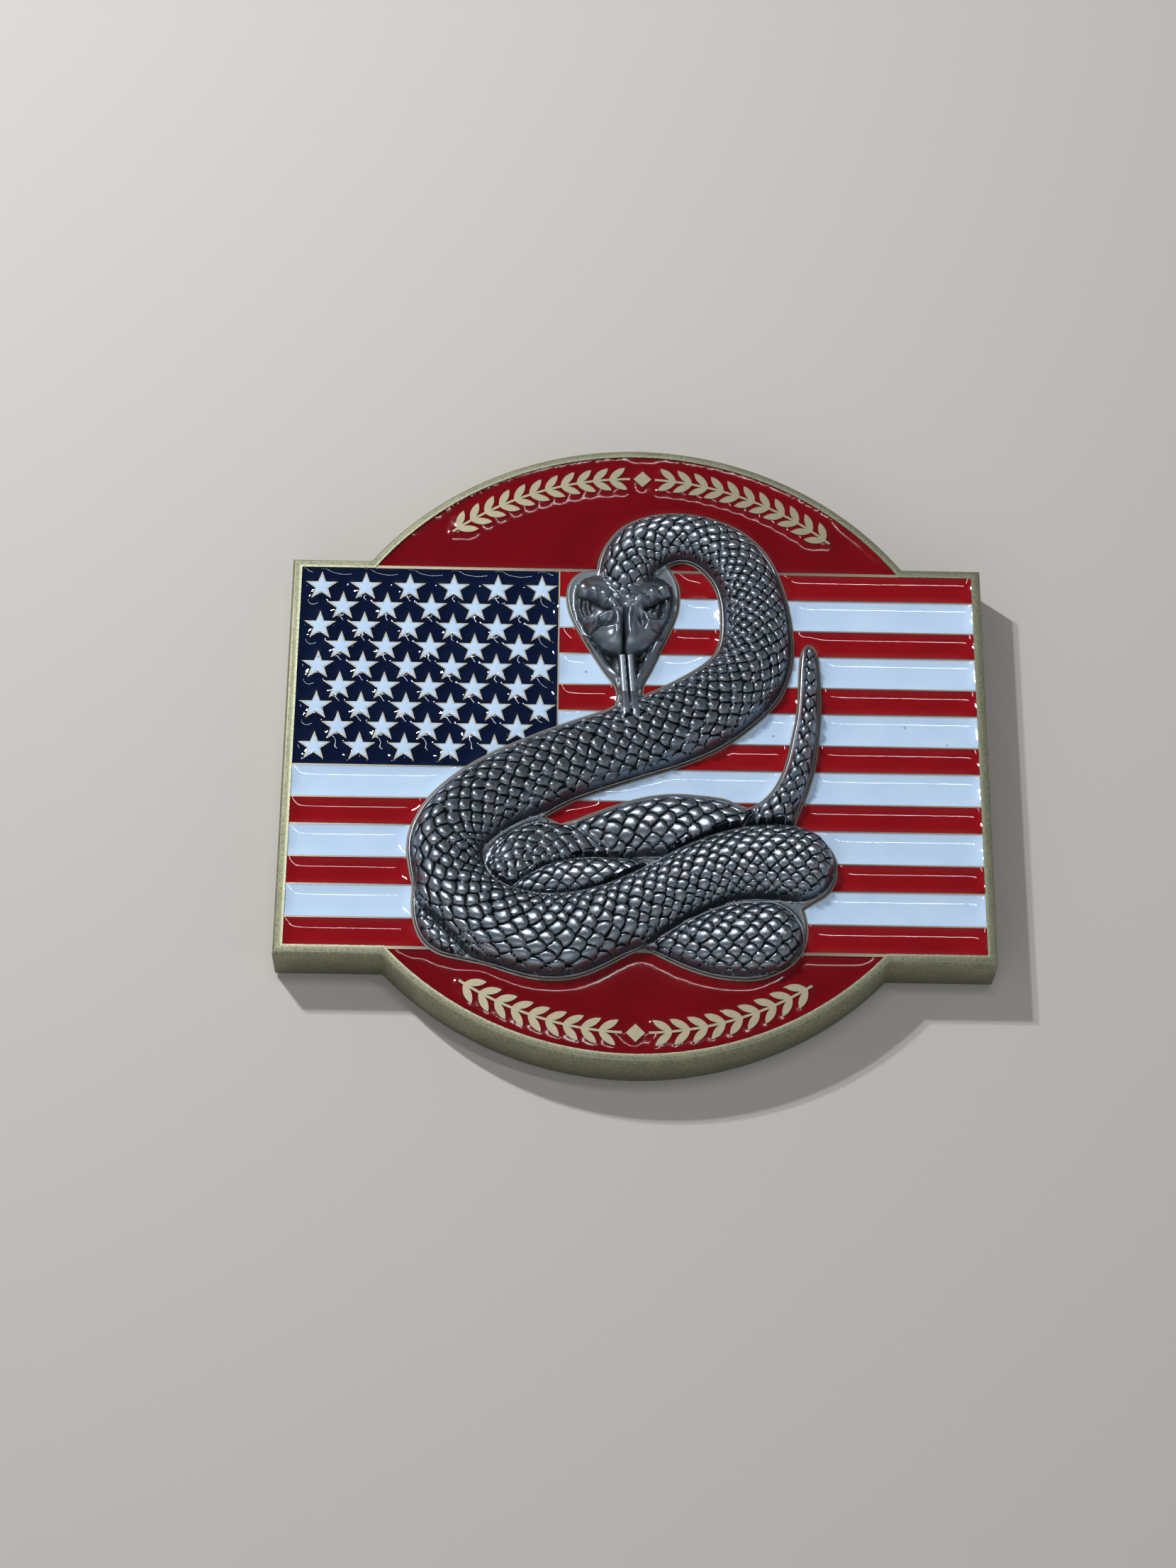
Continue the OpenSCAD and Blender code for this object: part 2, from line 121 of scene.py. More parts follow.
def triangulate(P, edges):
    V, _, F, ov, _, _ = delaunay_2d_cdt([Vector(p) for p in P], [tuple(int(i) for i in e) for e in edges], [], 0, 1e-5)
    V = np.array([tuple(v) for v in V])
    F = np.array([f for f in F if len(f) == 3], int)
    e1, e2 = V[F[:, 1]] - V[F[:, 0]], V[F[:, 2]] - V[F[:, 0]]
    cw = e1[:, 0] * e2[:, 1] - e1[:, 1] * e2[:, 0] < 0
    F[cw] = F[cw][:, ::-1]
    return V, F, ov


def rim_edges(F):
    """Directed edges that only one triangle has."""
    E = np.concatenate([F[:, [0, 1]], F[:, [1, 2]], F[:, [2, 0]]])
    n = int(F.max()) + 1
    key, rev = E[:, 0] * n + E[:, 1], E[:, 1] * n + E[:, 0]
    return E[~np.isin(key, rev)]


def relax(z, F, fixed, rounds, pull=1.0):
    """Evens out heights over a triangle mesh, with some points held."""
    E = np.concatenate([F[:, [0, 1]], F[:, [1, 2]], F[:, [2, 0]]])
    E = np.unique(np.sort(E, axis=1), axis=0)
    n = len(z)
    deg = np.bincount(E[:, 0], minlength=n) + np.bincount(E[:, 1], minlength=n)
    deg = np.maximum(deg, 1)
    for _ in range(rounds):
        s = np.bincount(E[:, 0], z[E[:, 1]], n) + np.bincount(E[:, 1], z[E[:, 0]], n)
        z = np.where(fixed, z, z + pull * (s / deg - z))
    return z


def make_object(name, V, F, material, attributes=None, sharp=50):
    me = bpy.data.meshes.new(name)
    me.from_pydata([tuple(v) for v in (V * MM).tolist()], [], [list(f) for f in F])
    me.update()
    me.shade_smooth()
    if sharp:
        me.set_sharp_from_angle(angle=math.radians(sharp))
    for key, values in (attributes or {}).items():
        at = me.attributes.new(key, "FLOAT", "POINT")
        at.data.foreach_set("value", np.asarray(values, np.float32))
    o = bpy.data.objects.new(name, me)
    scene.collection.objects.link(o)
    me.materials.append(material)
    return o


def relief_solid(name, loops, inner, height, zbot, material, sharp=50, smoothing=0, extra=None):
    """Closed solid over closed loops: its top is height(P, D), its bottom is flat."""
    P = np.concatenate(list(loops) + [inner])
    edges, a = [], 0
    for L in loops:
        n = len(L)
        edges += [(a + k, a + (k + 1) % n) for k in range(n)]
        a += n
    V, F, _ = triangulate(P, edges)
    F = F[inside(V[F].mean(1), loops)]
    used = np.unique(F)
    remap = np.full(len(V), -1)
    remap[used] = np.arange(len(used))
    V, F = V[used], remap[F]
    D = edge_distance(V, loops)
    R = rim_edges(F)
    ring = np.unique(R)
    fixed = np.zeros(len(V), bool)
    fixed[ring] = True
    out = height(V, D)
    z, attrs = out if isinstance(out, tuple) else (out, {})
    if smoothing:
        z = relax(z, F, fixed, smoothing)
    n = len(V)
    low = np.full(n, -1)
    low[ring] = n + np.arange(len(ring))
    B, G, ov = triangulate(V[ring], [(int(np.searchsorted(ring, a)), int(np.searchsorted(ring, b))) for a, b in R])
    G = G[inside(B[G].mean(1), loops)]
    back = np.array([o[0] if len(o) else -1 for o in ov])
    G = back[G]
    G = G[(G >= 0).all(1)]
    top = np.column_stack([V, z])
    bottom = np.column_stack([V[ring], np.full(len(ring), zbot)])
    walls = [(int(low[a]), int(low[b]), int(b), int(a)) for a, b in R]
    faces = F.tolist() + (G[:, ::-1] + n).tolist() + walls
    attrs = {k: np.concatenate([v, np.asarray(v)[ring]]) for k, v in attrs.items()}
    return make_object(name, np.concatenate([top, bottom]), faces, material, attrs, sharp)


def top_loops(o, z, tol=.02):
    """The closed outlines of a CAD node's flat faces at height z, in mm."""
    me = o.data
    co = np.empty(len(me.vertices) * 3)
    me.vertices.foreach_get("co", co)
    co = co.reshape(-1, 3) * 1000
    me.calc_loop_triangles()
    T = np.empty(len(me.loop_triangles) * 3, int)
    me.loop_triangles.foreach_get("vertices", T)
    T = T.reshape(-1, 3)
    key = np.round(co, 3)
    uniq, inv = np.unique(key, axis=0, return_inverse=True)
    T = inv.reshape(-1)[T]
    T = T[(np.abs(uniq[T][:, :, 2] - z) < tol).all(1)]
    a, b, c = uniq[T[:, 0]], uniq[T[:, 1]], uniq[T[:, 2]]
    area = (b[:, 0] - a[:, 0]) * (c[:, 1] - a[:, 1]) - (b[:, 1] - a[:, 1]) * (c[:, 0] - a[:, 0])
    T = T[np.abs(area) > 1e-9]
    area = area[np.abs(area) > 1e-9]
    T[area < 0] = T[area < 0][:, ::-1]
    R = rim_edges(T)
    nxt = {}
    for p, q in R.tolist():
        nxt.setdefault(p, []).append(q)
    loops = []
    while nxt:
        s = next(iter(nxt))
        run, p = [s], s
        while True:
            q = nxt[p].pop()
            if not nxt[p]:
                del nxt[p]
            if q == s:
                break
            run.append(q)
            p = q
            if p not in nxt:
                break
        if len(run) > 2:
            loops.append(uniq[run][:, :2])
    return loops


def smooth_loop(P, corners, n):
    """The CAD's outline curve: cubic between points, sharp at its corners."""
    P = [np.array(p, float) for p in P]
    N = len(P)
    out = []
    for i in range(N):
        p0, p1, p2, p3 = P[(i - 1) % N], P[i], P[(i + 1) % N], P[(i + 2) % N]
        m1 = p2 - p1 if i in corners else (p2 - p0) / 2
        m2 = p2 - p1 if (i + 1) % N in corners else (p3 - p1) / 2
        for k in range(n):
            t = k / n
            out.append((2*t**3 - 3*t*t + 1) * p1 + (t**3 - 2*t*t + t) * m1 + (-2*t**3 + 3*t*t) * p2 + (t**3 - t*t) * m2)
    return np.array(out)


def inset(L, d):
    u = L - np.roll(L, 1, 0)
    u /= np.linalg.norm(u, axis=1)[:, None]
    v = np.roll(u, -1, 0)
    t = u + v
    t /= np.linalg.norm(t, axis=1)[:, None]
    c = np.maximum(.6, (t * u).sum(1))
    return L + (d / c)[:, None] * np.stack([-t[:, 1], t[:, 0]], 1)



# ---------------------------------------------------------------- snake
def hermite(P, n):
    P = np.array(P, float)
    out = []
    for i in range(len(P) - 1):
        m1 = P[1] - P[0] if i == 0 else (P[i + 1] - P[i - 1]) / 2
        m2 = P[i + 1] - P[i] if i == len(P) - 2 else (P[i + 2] - P[i]) / 2
        for k in range(n):
            t = k / n
            out.append((2*t**3 - 3*t*t + 1) * P[i] + (t**3 - 2*t*t + t) * m1
                       + (-2*t**3 + 3*t*t) * P[i + 1] + (t**3 - t*t) * m2)
    out.append(P[-1])
    return np.array(out)

# x, y, half width, height, scale pitch along, scale pitch across
BODY = [(-1,10.35,0.9,1.05,1.04,1.04),(-1.02,11.1,1.25,1.15,1.04,1.04),(-1,12.2,1.8,1.2,1.1,1.1),(-0.8,13.8,2.05,1.2,1.16,1.1),(-0.3,15.2,2.2,1.3,1.04,1.04),(1.1,16.5,2.25,1.3,1.04,0.99),
 (3.2,17,2.15,1.3,0.99,0.99),(5,16.6,2.2,1.3,0.99,0.99),(6.6,15.5,2.4,1.3,0.935,0.935),(7.8,13.9,2.5,1.4,0.935,0.88),
 (8.5,12,2.6,1.4,0.88,0.88),(8.8,10,2.7,1.4,0.88,0.88),(8.7,8,2.8,1.4,0.935,0.935),(8,6,2.95,1.45,0.99,0.99),
 (6.4,3.9,2.95,1.5,1.1,1.04),(4.4,2.3,3.05,1.5,1.16,1.1),(2.2,1.1,3.05,1.5,1.16,1.12),(-0.4,0.1,3.1,1.5,1.16,1.16),
 (-3.1,-1,3.1,1.5,1.16,1.19),(-5.2,-1.9,3.1,1.5,1.16,1.16),(-7.3,-2.8,3.1,1.5,1.21,1.1),(-9.2,-3.7,3,1.5,1.21,1.1),
 (-10.9,-4.8,2.9,1.5,1.21,1.1),(-12.4,-6.1,2.9,1.5,1.21,1.1),(-13.4,-7.7,2.85,1.5,1.16,1.16),(-13.5,-9.4,2.8,1.5,1.16,1.16),
 (-13,-11.2,2.8,1.5,1.16,1.16),(-12,-12.6,2.8,1.5,1.21,1.16),(-10.7,-13.7,2.9,1.5,1.26,1.21),(-9,-14.6,3.1,1.6,1.32,1.21),
 (-6.5,-15.2,3.3,1.6,1.26,1.26),(-4,-15,3.3,1.6,1.21,1.26),(-1.7,-14.1,3,1.6,1.16,1.21),(0.4,-12.9,2.7,1.6,1.04,1.1),
 (2.4,-11.7,2.6,1.6,0.99,0.99),(4.6,-10.5,2.7,1.6,0.99,0.935),(7,-9.6,2.8,1.6,0.99,0.935),(9.4,-9.3,3,1.6,0.99,0.99),(11.25,-9.4,3.05,1.6,0.99,0.99)]
COIL = [(-5.6,-8.8,2.2,.7,1.3,1.3),(-4.2,-8.2,2.3,.8,1.3,1.3),(-2.4,-7.6,2.4,1.0,1.35,1.3),(-0.4,-6.9,2.4,1.1,1.35,1.3),(1.8,-6.6,2.5,1.2,1.35,1.3),
 (4,-6.7,2.6,1.2,1.3,1.25),(6.4,-7.2,2.6,1.1,1.2,1.2),(8.4,-8,2.8,1,1.2,1.2),(9.6,-8.8,2.8,1,1.2,1.2)]
INNER = [(-1.6,-10.6,2.0,.7,1.08,1.0),(-3,-9.4,2.2,.7,1.08,1.0),(-4.8,-8.6,2.3,.75,1.08,1.0),(-6.6,-8.5,2.2,.8,1.04,.95),(-8.2,-9.2,2.1,.8,1.0,.92),(-9,-10.4,1.9,.7,1.0,.92)]
LENS = [(-8.7,-12,.5,.2,1.1,1.0),(-7.4,-11.4,.9,.4,1.1,1.0),(-5.8,-10.9,1.3,.7,1.1,1.02),(-3.8,-10.6,1.5,.85,1.1,1.02),(-1.6,-10.6,1.5,.85,1.1,1.02),
 (0.2,-10.7,1.4,.8,1.1,1.0),(1.6,-10.9,1.2,.7,1.1,1.0)]
LOWER = [(0.9,-15.95,.35,.2,1.15,1.0),(2,-15.9,.9,.5,1.15,1.0),(3.4,-15.7,1.65,.9,1.15,1.05),(5.2,-15.5,2.4,1.2,1.15,1.1),(7.2,-15.3,2.9,1.3,1.15,1.1),
 (9.0,-15.2,3.0,1.3,1.15,1.1)]
HEEL = [(-15.3,-12,.6,.2,.9,.8),(-15,-13.6,1,.6,.9,.8),(-14.4,-15,1.2,.7,.9,.8),(-13.4,-16,1.2,.6,.9,.8),(-12.2,-16.6,1.0,.4,.9,.8)]
TAIL = [(9.0,-7.8,1.9,.9,1.1,1.0),(9.8,-6.2,1.75,1.0,1.1,1.0),(10.5,-4.8,1.6,1,1.1,.95),(11.1,-3.3,1.45,1,1.1,.95),(11.6,-1.6,1.3,1,1.1,.95),
 (12,0.4,1.15,.95,1.15,1.0),(12.35,2.4,1.0,.9,1.15,1.1),(12.55,4.4,.9,.8,1.1,1.1),(12.6,6.2,.75,.7,1.0,1.1),(12.58,7.5,.62,.55,.9,1.0)]

class Ribbon:
    """Maps points to (distance along, signed distance across, half width, height, scale phase) of a tapered line."""
    def __init__(self, line, step=0.05, phase=0.0):
        fine = hermite(line, 60)
        seg = np.r_[0, np.cumsum(np.hypot(*np.diff(fine[:, :2], axis=0).T))]
        n = int(seg[-1] / step) + 1
        s = np.linspace(0, seg[-1], n)
        self.t = np.stack([np.interp(s, seg, fine[:, k]) for k in range(6)], 1)
        self.s = s
        g = np.gradient(self.t[:, :2], axis=0)
        self.tan = g / np.linalg.norm(g, axis=1)[:, None]
        self.side = None
        self.phase = np.r_[0, np.cumsum(np.diff(s) / ((self.t[1:, 4] + self.t[:-1, 4]) / 2))] + phase
    def fit(self, loops, reach=.75):
        """Let each side's width follow the outline where the outline is that side's own edge."""
        c, tn, w0 = self.t[::3, :2], self.tan[::3], self.t[::3, 2]
        A = np.concatenate([np.asarray(L) for L in loops])
        B = np.concatenate([np.roll(np.asarray(L), -1, 0) for L in loops])
        E = B - A
        self.side = []
        for sg in (1, -1):
            nrm = sg * np.stack([-tn[:, 1], tn[:, 0]], 1)
            det = nrm[:, None, 0] * -E[None, :, 1] + nrm[:, None, 1] * E[None, :, 0]
            rx = A[None, :, 0] - c[:, None, 0]
            ry = A[None, :, 1] - c[:, None, 1]
            det = np.where(np.abs(det) < 1e-9, 1e-9, det)
            tt = (rx * -E[None, :, 1] + ry * E[None, :, 0]) / det
            uu = (nrm[:, None, 0] * ry - nrm[:, None, 1] * rx) / det
            ok = (uu >= -.001) & (uu <= 1.001) & (tt > .3 * w0[:, None])
            tt = np.where(ok, tt, 99.)
            near = np.take_along_axis(tt, np.argmin(np.abs(tt - w0[:, None]), axis=1)[:, None], 1)[:, 0]
            near = np.where(np.abs(near - w0) < reach, near, w0)
            k = np.exp(-(np.arange(-9, 10) / 4.) ** 2)
            k /= k.sum()
            pad = np.r_[np.full(9, near[0]), near, np.full(9, near[-1])]
            sm = np.convolve(pad, k, 'valid')
            self.side.append(np.interp(self.s, self.s[::3], sm))
        return self
    def __call__(self, P):
        c = self.t[:, :2]
        idx = np.empty(len(P), int)
        for a in range(0, len(P), 20000):
            q = P[a:a + 20000]
            idx[a:a + 20000] = np.argmin((c * c).sum(1)[None] - 2 * q @ c.T, axis=1)
        r = P - c[idx]
        tn = self.tan[idx]
        al = (r * tn).sum(1)
        d = r[:, 1] * tn[:, 0] - r[:, 0] * tn[:, 1]
        uu = self.s[idx] + al
        row = np.stack([np.interp(uu, self.s, self.t[:, k]) for k in range(6)], 1)
        past = np.where(idx == 0, np.maximum(-al, 0), np.where(idx == len(c) - 1, np.maximum(al, 0), 0))
        rad = np.hypot(d, past)
        ph = self.phase[idx] + al / row[:, 4]
        wl, wr = row[:, 2], row[:, 2]
        if self.side is not None:
            wl, wr = np.interp(uu, self.s, self.side[0]), np.interp(uu, self.s, self.side[1])
        m = .5 + .5 * np.clip(d / np.maximum(rad, 1e-6), -1, 1)
        m = m * m * (3 - 2 * m)
        weff = wr + (wl - wr) * m
        return dict(weff=weff, u=self.s[idx] + al, d=d, rad=rad, w=row[:, 2], h=row[:, 3], pu=row[:, 4], pv=row[:, 5], ph=ph, past=past, idx=idx)

JIT = np.random.RandomState(5).rand(8, 64, 64)
def jit(k, i, j):
    return JIT[k, np.mod(i, 64).astype(int), np.mod(j, 64).astype(int)] - 0.5

def scales(x, y, seed=0, L0=.66, W0=.98, tilt=.5, ex=.42):
    """Overlapping rounded scales on a rhombic lattice. x runs towards their free ends. Height about 0..1."""
    best, second = np.zeros_like(x), np.zeros_like(x)
    j0 = np.floor(y + .5)
    for dj in (-1, 0, 1):
        j = j0 + dj
        off = .5 * np.mod(j, 2)
        i0 = np.floor(x - off + .5)
        for di in (-1, 0, 1):
            i = i0 + di
            a, b = i + seed, j + seed
            cx = i + off + .23 * jit(0, a, b)
            cy = j + .25 * jit(1, a, b)
            p, q = x - cx, y - cy
            th = .5 * jit(2, a, b)
            p, q = p + .5 * th * q, q - th * p
            L = L0 * (1 + .24 * jit(3, a, b))
            W = W0 * (1 + .22 * jit(4, a, b))
            pn = np.where(p > 0, p / L, p / (L * 1.3))
            r2 = np.abs(pn) ** 2.1 + np.abs(q / W) ** 2.1
            h = np.clip(1 - r2, 0, None) ** ex * (1 + .24 * jit(5, a, b)) * np.maximum(1 + tilt * p, .05)
            second = np.maximum(second, np.minimum(best, h))
            best = np.maximum(best, h)
    return best, best - second

def smooth(a, b, x):
    t = np.clip((x - a) / (b - a), 0, 1)
    return t * t * (3 - 2 * t)

ROWS = .60
def strand(rb, P, D, amp=0.28, lo=.90, hi=1.0, seed=0, edge=0.0, flange=.24, expo=.5, power=2.2, tilt=1.15):
    """Height over the rim, cavity and inside mask of one coil. D, the distance to the outline, is not used."""
    r = rb(P)
    w0, w, rad = r['w'], r['weff'], r['rad']
    wi = np.maximum(w - flange, .12)
    v = np.clip(rad / wi, 0, 1)
    dome = (1 - v ** power) ** expo
    z = .05 + edge + r['h'] * dome
    e = w - rad
    line = np.exp(-((e - .09) / .075) ** 4)
    z = z + .05 * line
    wq = np.maximum(w0 - flange * .8, .12)
    vv = np.clip(r['d'] / wq, -.995, .995)
    y = np.arcsin(vv) * wq / r['pv'] / ROWS
    s, gap = scales(r['ph'], y, seed=seed, tilt=tilt)
    fade = 1 - smooth(lo, hi, v)
    size = np.minimum(1.1, np.minimum(r['pu'], r['pv']))
    cut = np.maximum(smooth(.37, .03, gap), smooth(.68, .38, s))
    z = z + amp * size * fade * (s - .55 - .22 * cut)
    cav = np.maximum(.95 * cut, .40 * smooth(1.12, .58, s)) * np.sqrt(fade)
    cav = np.maximum(cav, smooth(.90, 1.0, v) * .45)
    cav = np.where(line > .5, .06, cav)
    return z, cav, rad < w, dict(v=v, s=s, fade=fade, e=e, line=line, r=r)

def seg_dist(P, a, b):
    a, b = np.array(a, float), np.array(b, float)
    t = np.clip(((P - a) @ (b - a)) / ((b - a) @ (b - a)), 0, 1)
    return np.hypot(*(P - a - t[:, None] * (b - a)).T), t

def ridge(P, pts, amp, sig):
    """Rounded ridge or groove along a polyline: amp and sig may run from one end to the other."""
    best = np.full(len(P), 9.)
    A = np.zeros(len(P)); S = np.full(len(P), .2)
    n = len(pts) - 1
    a0, a1 = (amp if isinstance(amp, tuple) else (amp, amp))
    s0, s1 = (sig if isinstance(sig, tuple) else (sig, sig))
    for k in range(n):
        d, t = seg_dist(P, pts[k], pts[k + 1])
        f = (k + t) / n
        m = d < best
        best = np.where(m, d, best)
        A = np.where(m, a0 + (a1 - a0) * f, A)
        S = np.where(m, s0 + (s1 - s0) * f, S)
    return A * np.exp(-(best / S) ** 2)

def bump(P, c, rx, ry, amp, rot=0.0, p=2.0):
    x, y = P[:, 0] - c[0], P[:, 1] - c[1]
    a = np.radians(rot)
    x, y = x * np.cos(a) + y * np.sin(a), -x * np.sin(a) + y * np.cos(a)
    return amp * np.exp(-(np.abs(x / rx) ** 2 + np.abs(y / ry) ** 2) ** (p / 2))

HEAD_Y = [6.75, 6.85, 7.0, 7.3, 7.8, 8.5, 9.2, 10, 11, 12, 12.7, 13.2, 13.5, 13.65]
HEAD_W = [0, .75, 1.25, 1.7, 2.15, 2.6, 2.98, 3.35, 3.58, 3.62, 3.45, 3.0, 2.3, 0]
# Plates over the brows: middle, half length, half width, height, turn
BROWS = [((-4.05, 12.1), .48, .42, .44, -20), ((-3.2, 11.72), .48, .42, .60, -32), ((-2.5, 11.2), .52, .46, .74, -44),
         ((-1.88, 10.5), .48, .44, .78, -50), ((2.05, 12.12), .52, .42, .44, 12), ((1.18, 11.62), .52, .44, .62, 38),
         ((.16, 10.76), .72, .44, .80, 40)]


def head(P, D):
    x, y = P[:, 0], P[:, 1]
    w = np.interp(y, HEAD_Y, HEAD_W)
    v = np.clip(np.abs(x + .98) / np.maximum(w, .05), 0, 1)
    h = np.interp(y, [6.8, 7.1, 7.6, 8.3, 9.2, 10.2, 11.2, 12.2, 12.9, 13.4, 13.65], [.55, .85, 1.08, 1.18, 1.2, 1.1, .98, .8, .6, .35, .15])
    dome = (1 - v ** 2.8) ** .75 * np.sqrt(np.clip((y - 6.75) / .6, 0, 1)) ** .8 * smooth(13.65, 12.5, y)
    skirt = .05 + .30 * smooth(.05, .8, D)
    inside = (np.abs(x + .98) < w) & (y > 6.75) & (y < 13.65)
    z = skirt + h * dome
    k = smooth(0, .35, dome)
    f = np.zeros(len(P))
    # snout lobes and the bridge of the nose, split by the middle groove
    f += bump(P, (-1.9, 7.8), .78, .75, .40) + bump(P, (-.12, 7.8), .78, .75, .40)
    f += bump(P, (-1.0, 9.1), 1.0, 1.3, .16)
    f += ridge(P, [(-1.5, 7.9), (-1.42, 8.6), (-1.42, 9.3), (-1.6, 9.95)], (.34, .42), .2)
    f += ridge(P, [(-.52, 7.9), (-.58, 8.6), (-.6, 9.4), (-.5, 10.0)], (.36, .46), .2)
    f -= ridge(P, [(-.98, 6.7), (-.98, 8.2), (-1.0, 9.6), (-1.0, 10.35)], (.55, .34), (.15, .13))
    # nostrils: a ringed pit on the left, a narrow one on the right
    f -= bump(P, (-2.2, 9.13), .52, .36, .60, 28, 3.2)
    f += ridge(P, [(-3.0, 9.02), (-2.75, 9.4), (-2.25, 9.72), (-1.75, 9.95)], .27, .16)
    f += ridge(P, [(-3.0, 9.02), (-2.7, 8.62), (-2.2, 8.45), (-1.7, 8.5)], .25, .17)
    f -= bump(P, (.3, 9.25), .27, .5, .40, 8, 3.2)
    f += ridge(P, [(.72, 8.6), (.8, 9.2), (.62, 9.8), (.3, 10.1)], .18, .16)
    # ridge under each eye, and the folds behind the lips
    f += ridge(P, [(-3.0, 9.1), (-3.45, 9.22), (-3.95, 9.5), (-4.3, 10.0)], (.38, .18), .19)
    f += ridge(P, [(.95, 9.15), (1.5, 9.35), (2.05, 9.85), (2.35, 10.4)], (.28, .16), .19)
    f -= ridge(P, [(-2.85, 8.75), (-3.3, 8.62), (-3.8, 8.1)], (.3, .45), .18)
    f -= ridge(P, [(1.1, 8.7), (1.6, 8.6), (2.0, 8.4)], (.12, .26), .17)
    # eye sockets, each with two upright lids
    sock = bump(P, (-3.75, 10.45), .78, .82, 1, 12, 4) + bump(P, (1.75, 10.4), .72, .85, 1, -12, 4)
    f -= .34 * sock
    for pts, a, sg in [([(-4.25, 11.15), (-4.3, 10.5), (-4.05, 9.85)], .40, .17), ([(-3.62, 10.95), (-3.62, 10.4), (-3.5, 9.95)], .38, .16),
                       ([(2.15, 11.15), (2.18, 10.6), (1.95, 10.0)], .40, .17), ([(1.55, 10.85), (1.5, 10.35), (1.35, 9.95)], .36, .15),
                       ([(.98, 10.35), (.95, 9.95)], .2, .13)]:
        f += ridge(P, pts, a, sg)
    # grooves under the brows
    f -= ridge(P, [(-4.5, 11.55), (-3.6, 11.2), (-2.95, 10.65), (-2.35, 10.15), (-1.95, 9.98)], (.22, .30), .17)
    f -= ridge(P, [(2.5, 11.7), (1.75, 11.15), (1.05, 10.6), (.55, 10.2)], (.22, .26), .16)
    # brow plates stand out one by one
    plates = np.zeros(len(P))
    for c, rx, ry, a, rot in BROWS:
        plates = np.maximum(plates, bump(P, c, rx * 1.08, ry * 1.08, a * 1.12, rot, 3.0))
    f += plates
    f += bump(P, (-4.1, 12.75), .7, .5, .16) + bump(P, (2.2, 12.95), .7, .5, .16)
    z = z + k * f
    pit = bump(P, (-2.2, 9.13), .5, .34, .38, 28, 4) + bump(P, (.3, 9.25), .25, .48, .42, 8, 4)
    cut = ridge(P, [(-.98, 6.7), (-.98, 8.2), (-1.0, 9.6), (-1.0, 10.35)], (.80, .5), (.11, .09))
    fold = ridge(P, [(-2.85, 8.75), (-3.3, 8.62), (-3.8, 8.1)], .55, .14) + ridge(P, [(1.1, 8.7), (1.6, 8.6), (2.0, 8.4)], .5, .14)
    under = ridge(P, [(-4.5, 11.55), (-3.6, 11.2), (-2.95, 10.65), (-2.35, 10.15), (-1.95, 9.98)], .66, .15)
    under = np.maximum(under, ridge(P, [(2.5, 11.7), (1.75, 11.15), (1.05, 10.6), (.55, 10.2)], .66, .14))
    lids = np.clip(sock - f * 1.2, 0, 1) * .45
    cav = np.maximum.reduce([pit, cut, fold, under, lids]) * k
    cav = np.maximum(cav, .50 * smooth(.84, .99, v))
    return z, np.clip(cav, 0, 1), inside, dict(v=v, f=f)


def jaw_and_tongue(P, zbase):
    """Lower jaw, and the tongue, which lies over whatever is under it."""
    x, y = P[:, 0], P[:, 1]
    z = np.full(len(P), .05); cav = np.full(len(P), .16)
    j = ridge(P, [(-3.7, 8.1), (-3.0, 7.0), (-2.2, 5.9), (-1.45, 5.0), (-1.3, 4.3)], (.55, .3), (.36, .3))
    j = np.maximum(j, ridge(P, [(1.5, 8.0), (1.0, 6.9), (.5, 5.9), (.1, 5.2), (.0, 4.5)], (.5, .25), (.3, .26)))
    j2 = ridge(P, [(.85, 7.3), (.65, 6.5), (.2, 5.6)], .3, .12)
    j3 = ridge(P, [(-2.75, 7.1), (-2.2, 6.3), (-1.5, 5.3)], .16, .12)
    z = z + np.maximum(j, 0) + j2 + j3
    mouth = (np.exp(-((x + 1.9) / .55) ** 2 - ((y - 6.4) / .7) ** 2) + np.exp(-((x - .15) / .4) ** 2 - ((y - 6.4) / .8) ** 2))
    z = z - .15 * mouth
    cav = np.clip(cav + .52 * mouth - 1.2 * j, 0, 1)
    # tongue
    c = np.interp(y, [1.0, 3.0, 6.6, 8.0], [-.42, -.5, -.78, -.85])
    hw = np.interp(y, [1.0, 1.6, 2.3, 4, 7.5], [.66, .64, .62, .60, .60])
    q = (x - c) / hw
    body = np.clip(1 - np.abs(q) ** 12, 0, 1) ** .5
    groove = np.exp(-((q - .04) / np.interp(y, [2, 6.5], [.05, .09])) ** 2) * smooth(2.0, 2.6, y)
    rim = np.exp(-((np.abs(q) - .55) / .3) ** 2)
    fork = smooth(1.9, 1.0, y)
    # the tips part below the notch
    open_ = np.where(y < 2.05, np.clip((2.05 - y) / 1.0, 0, 1), 0)
    tip = np.clip((np.abs(q) - open_ * .85) / .12, 0, 1)
    end = smooth(.85, 1.05, y + .25 * np.abs(q + .8))
    t = body * tip * end
    tz = .26 * t - .08 * groove * t
    return z, cav, (x, y, q, t, tz)

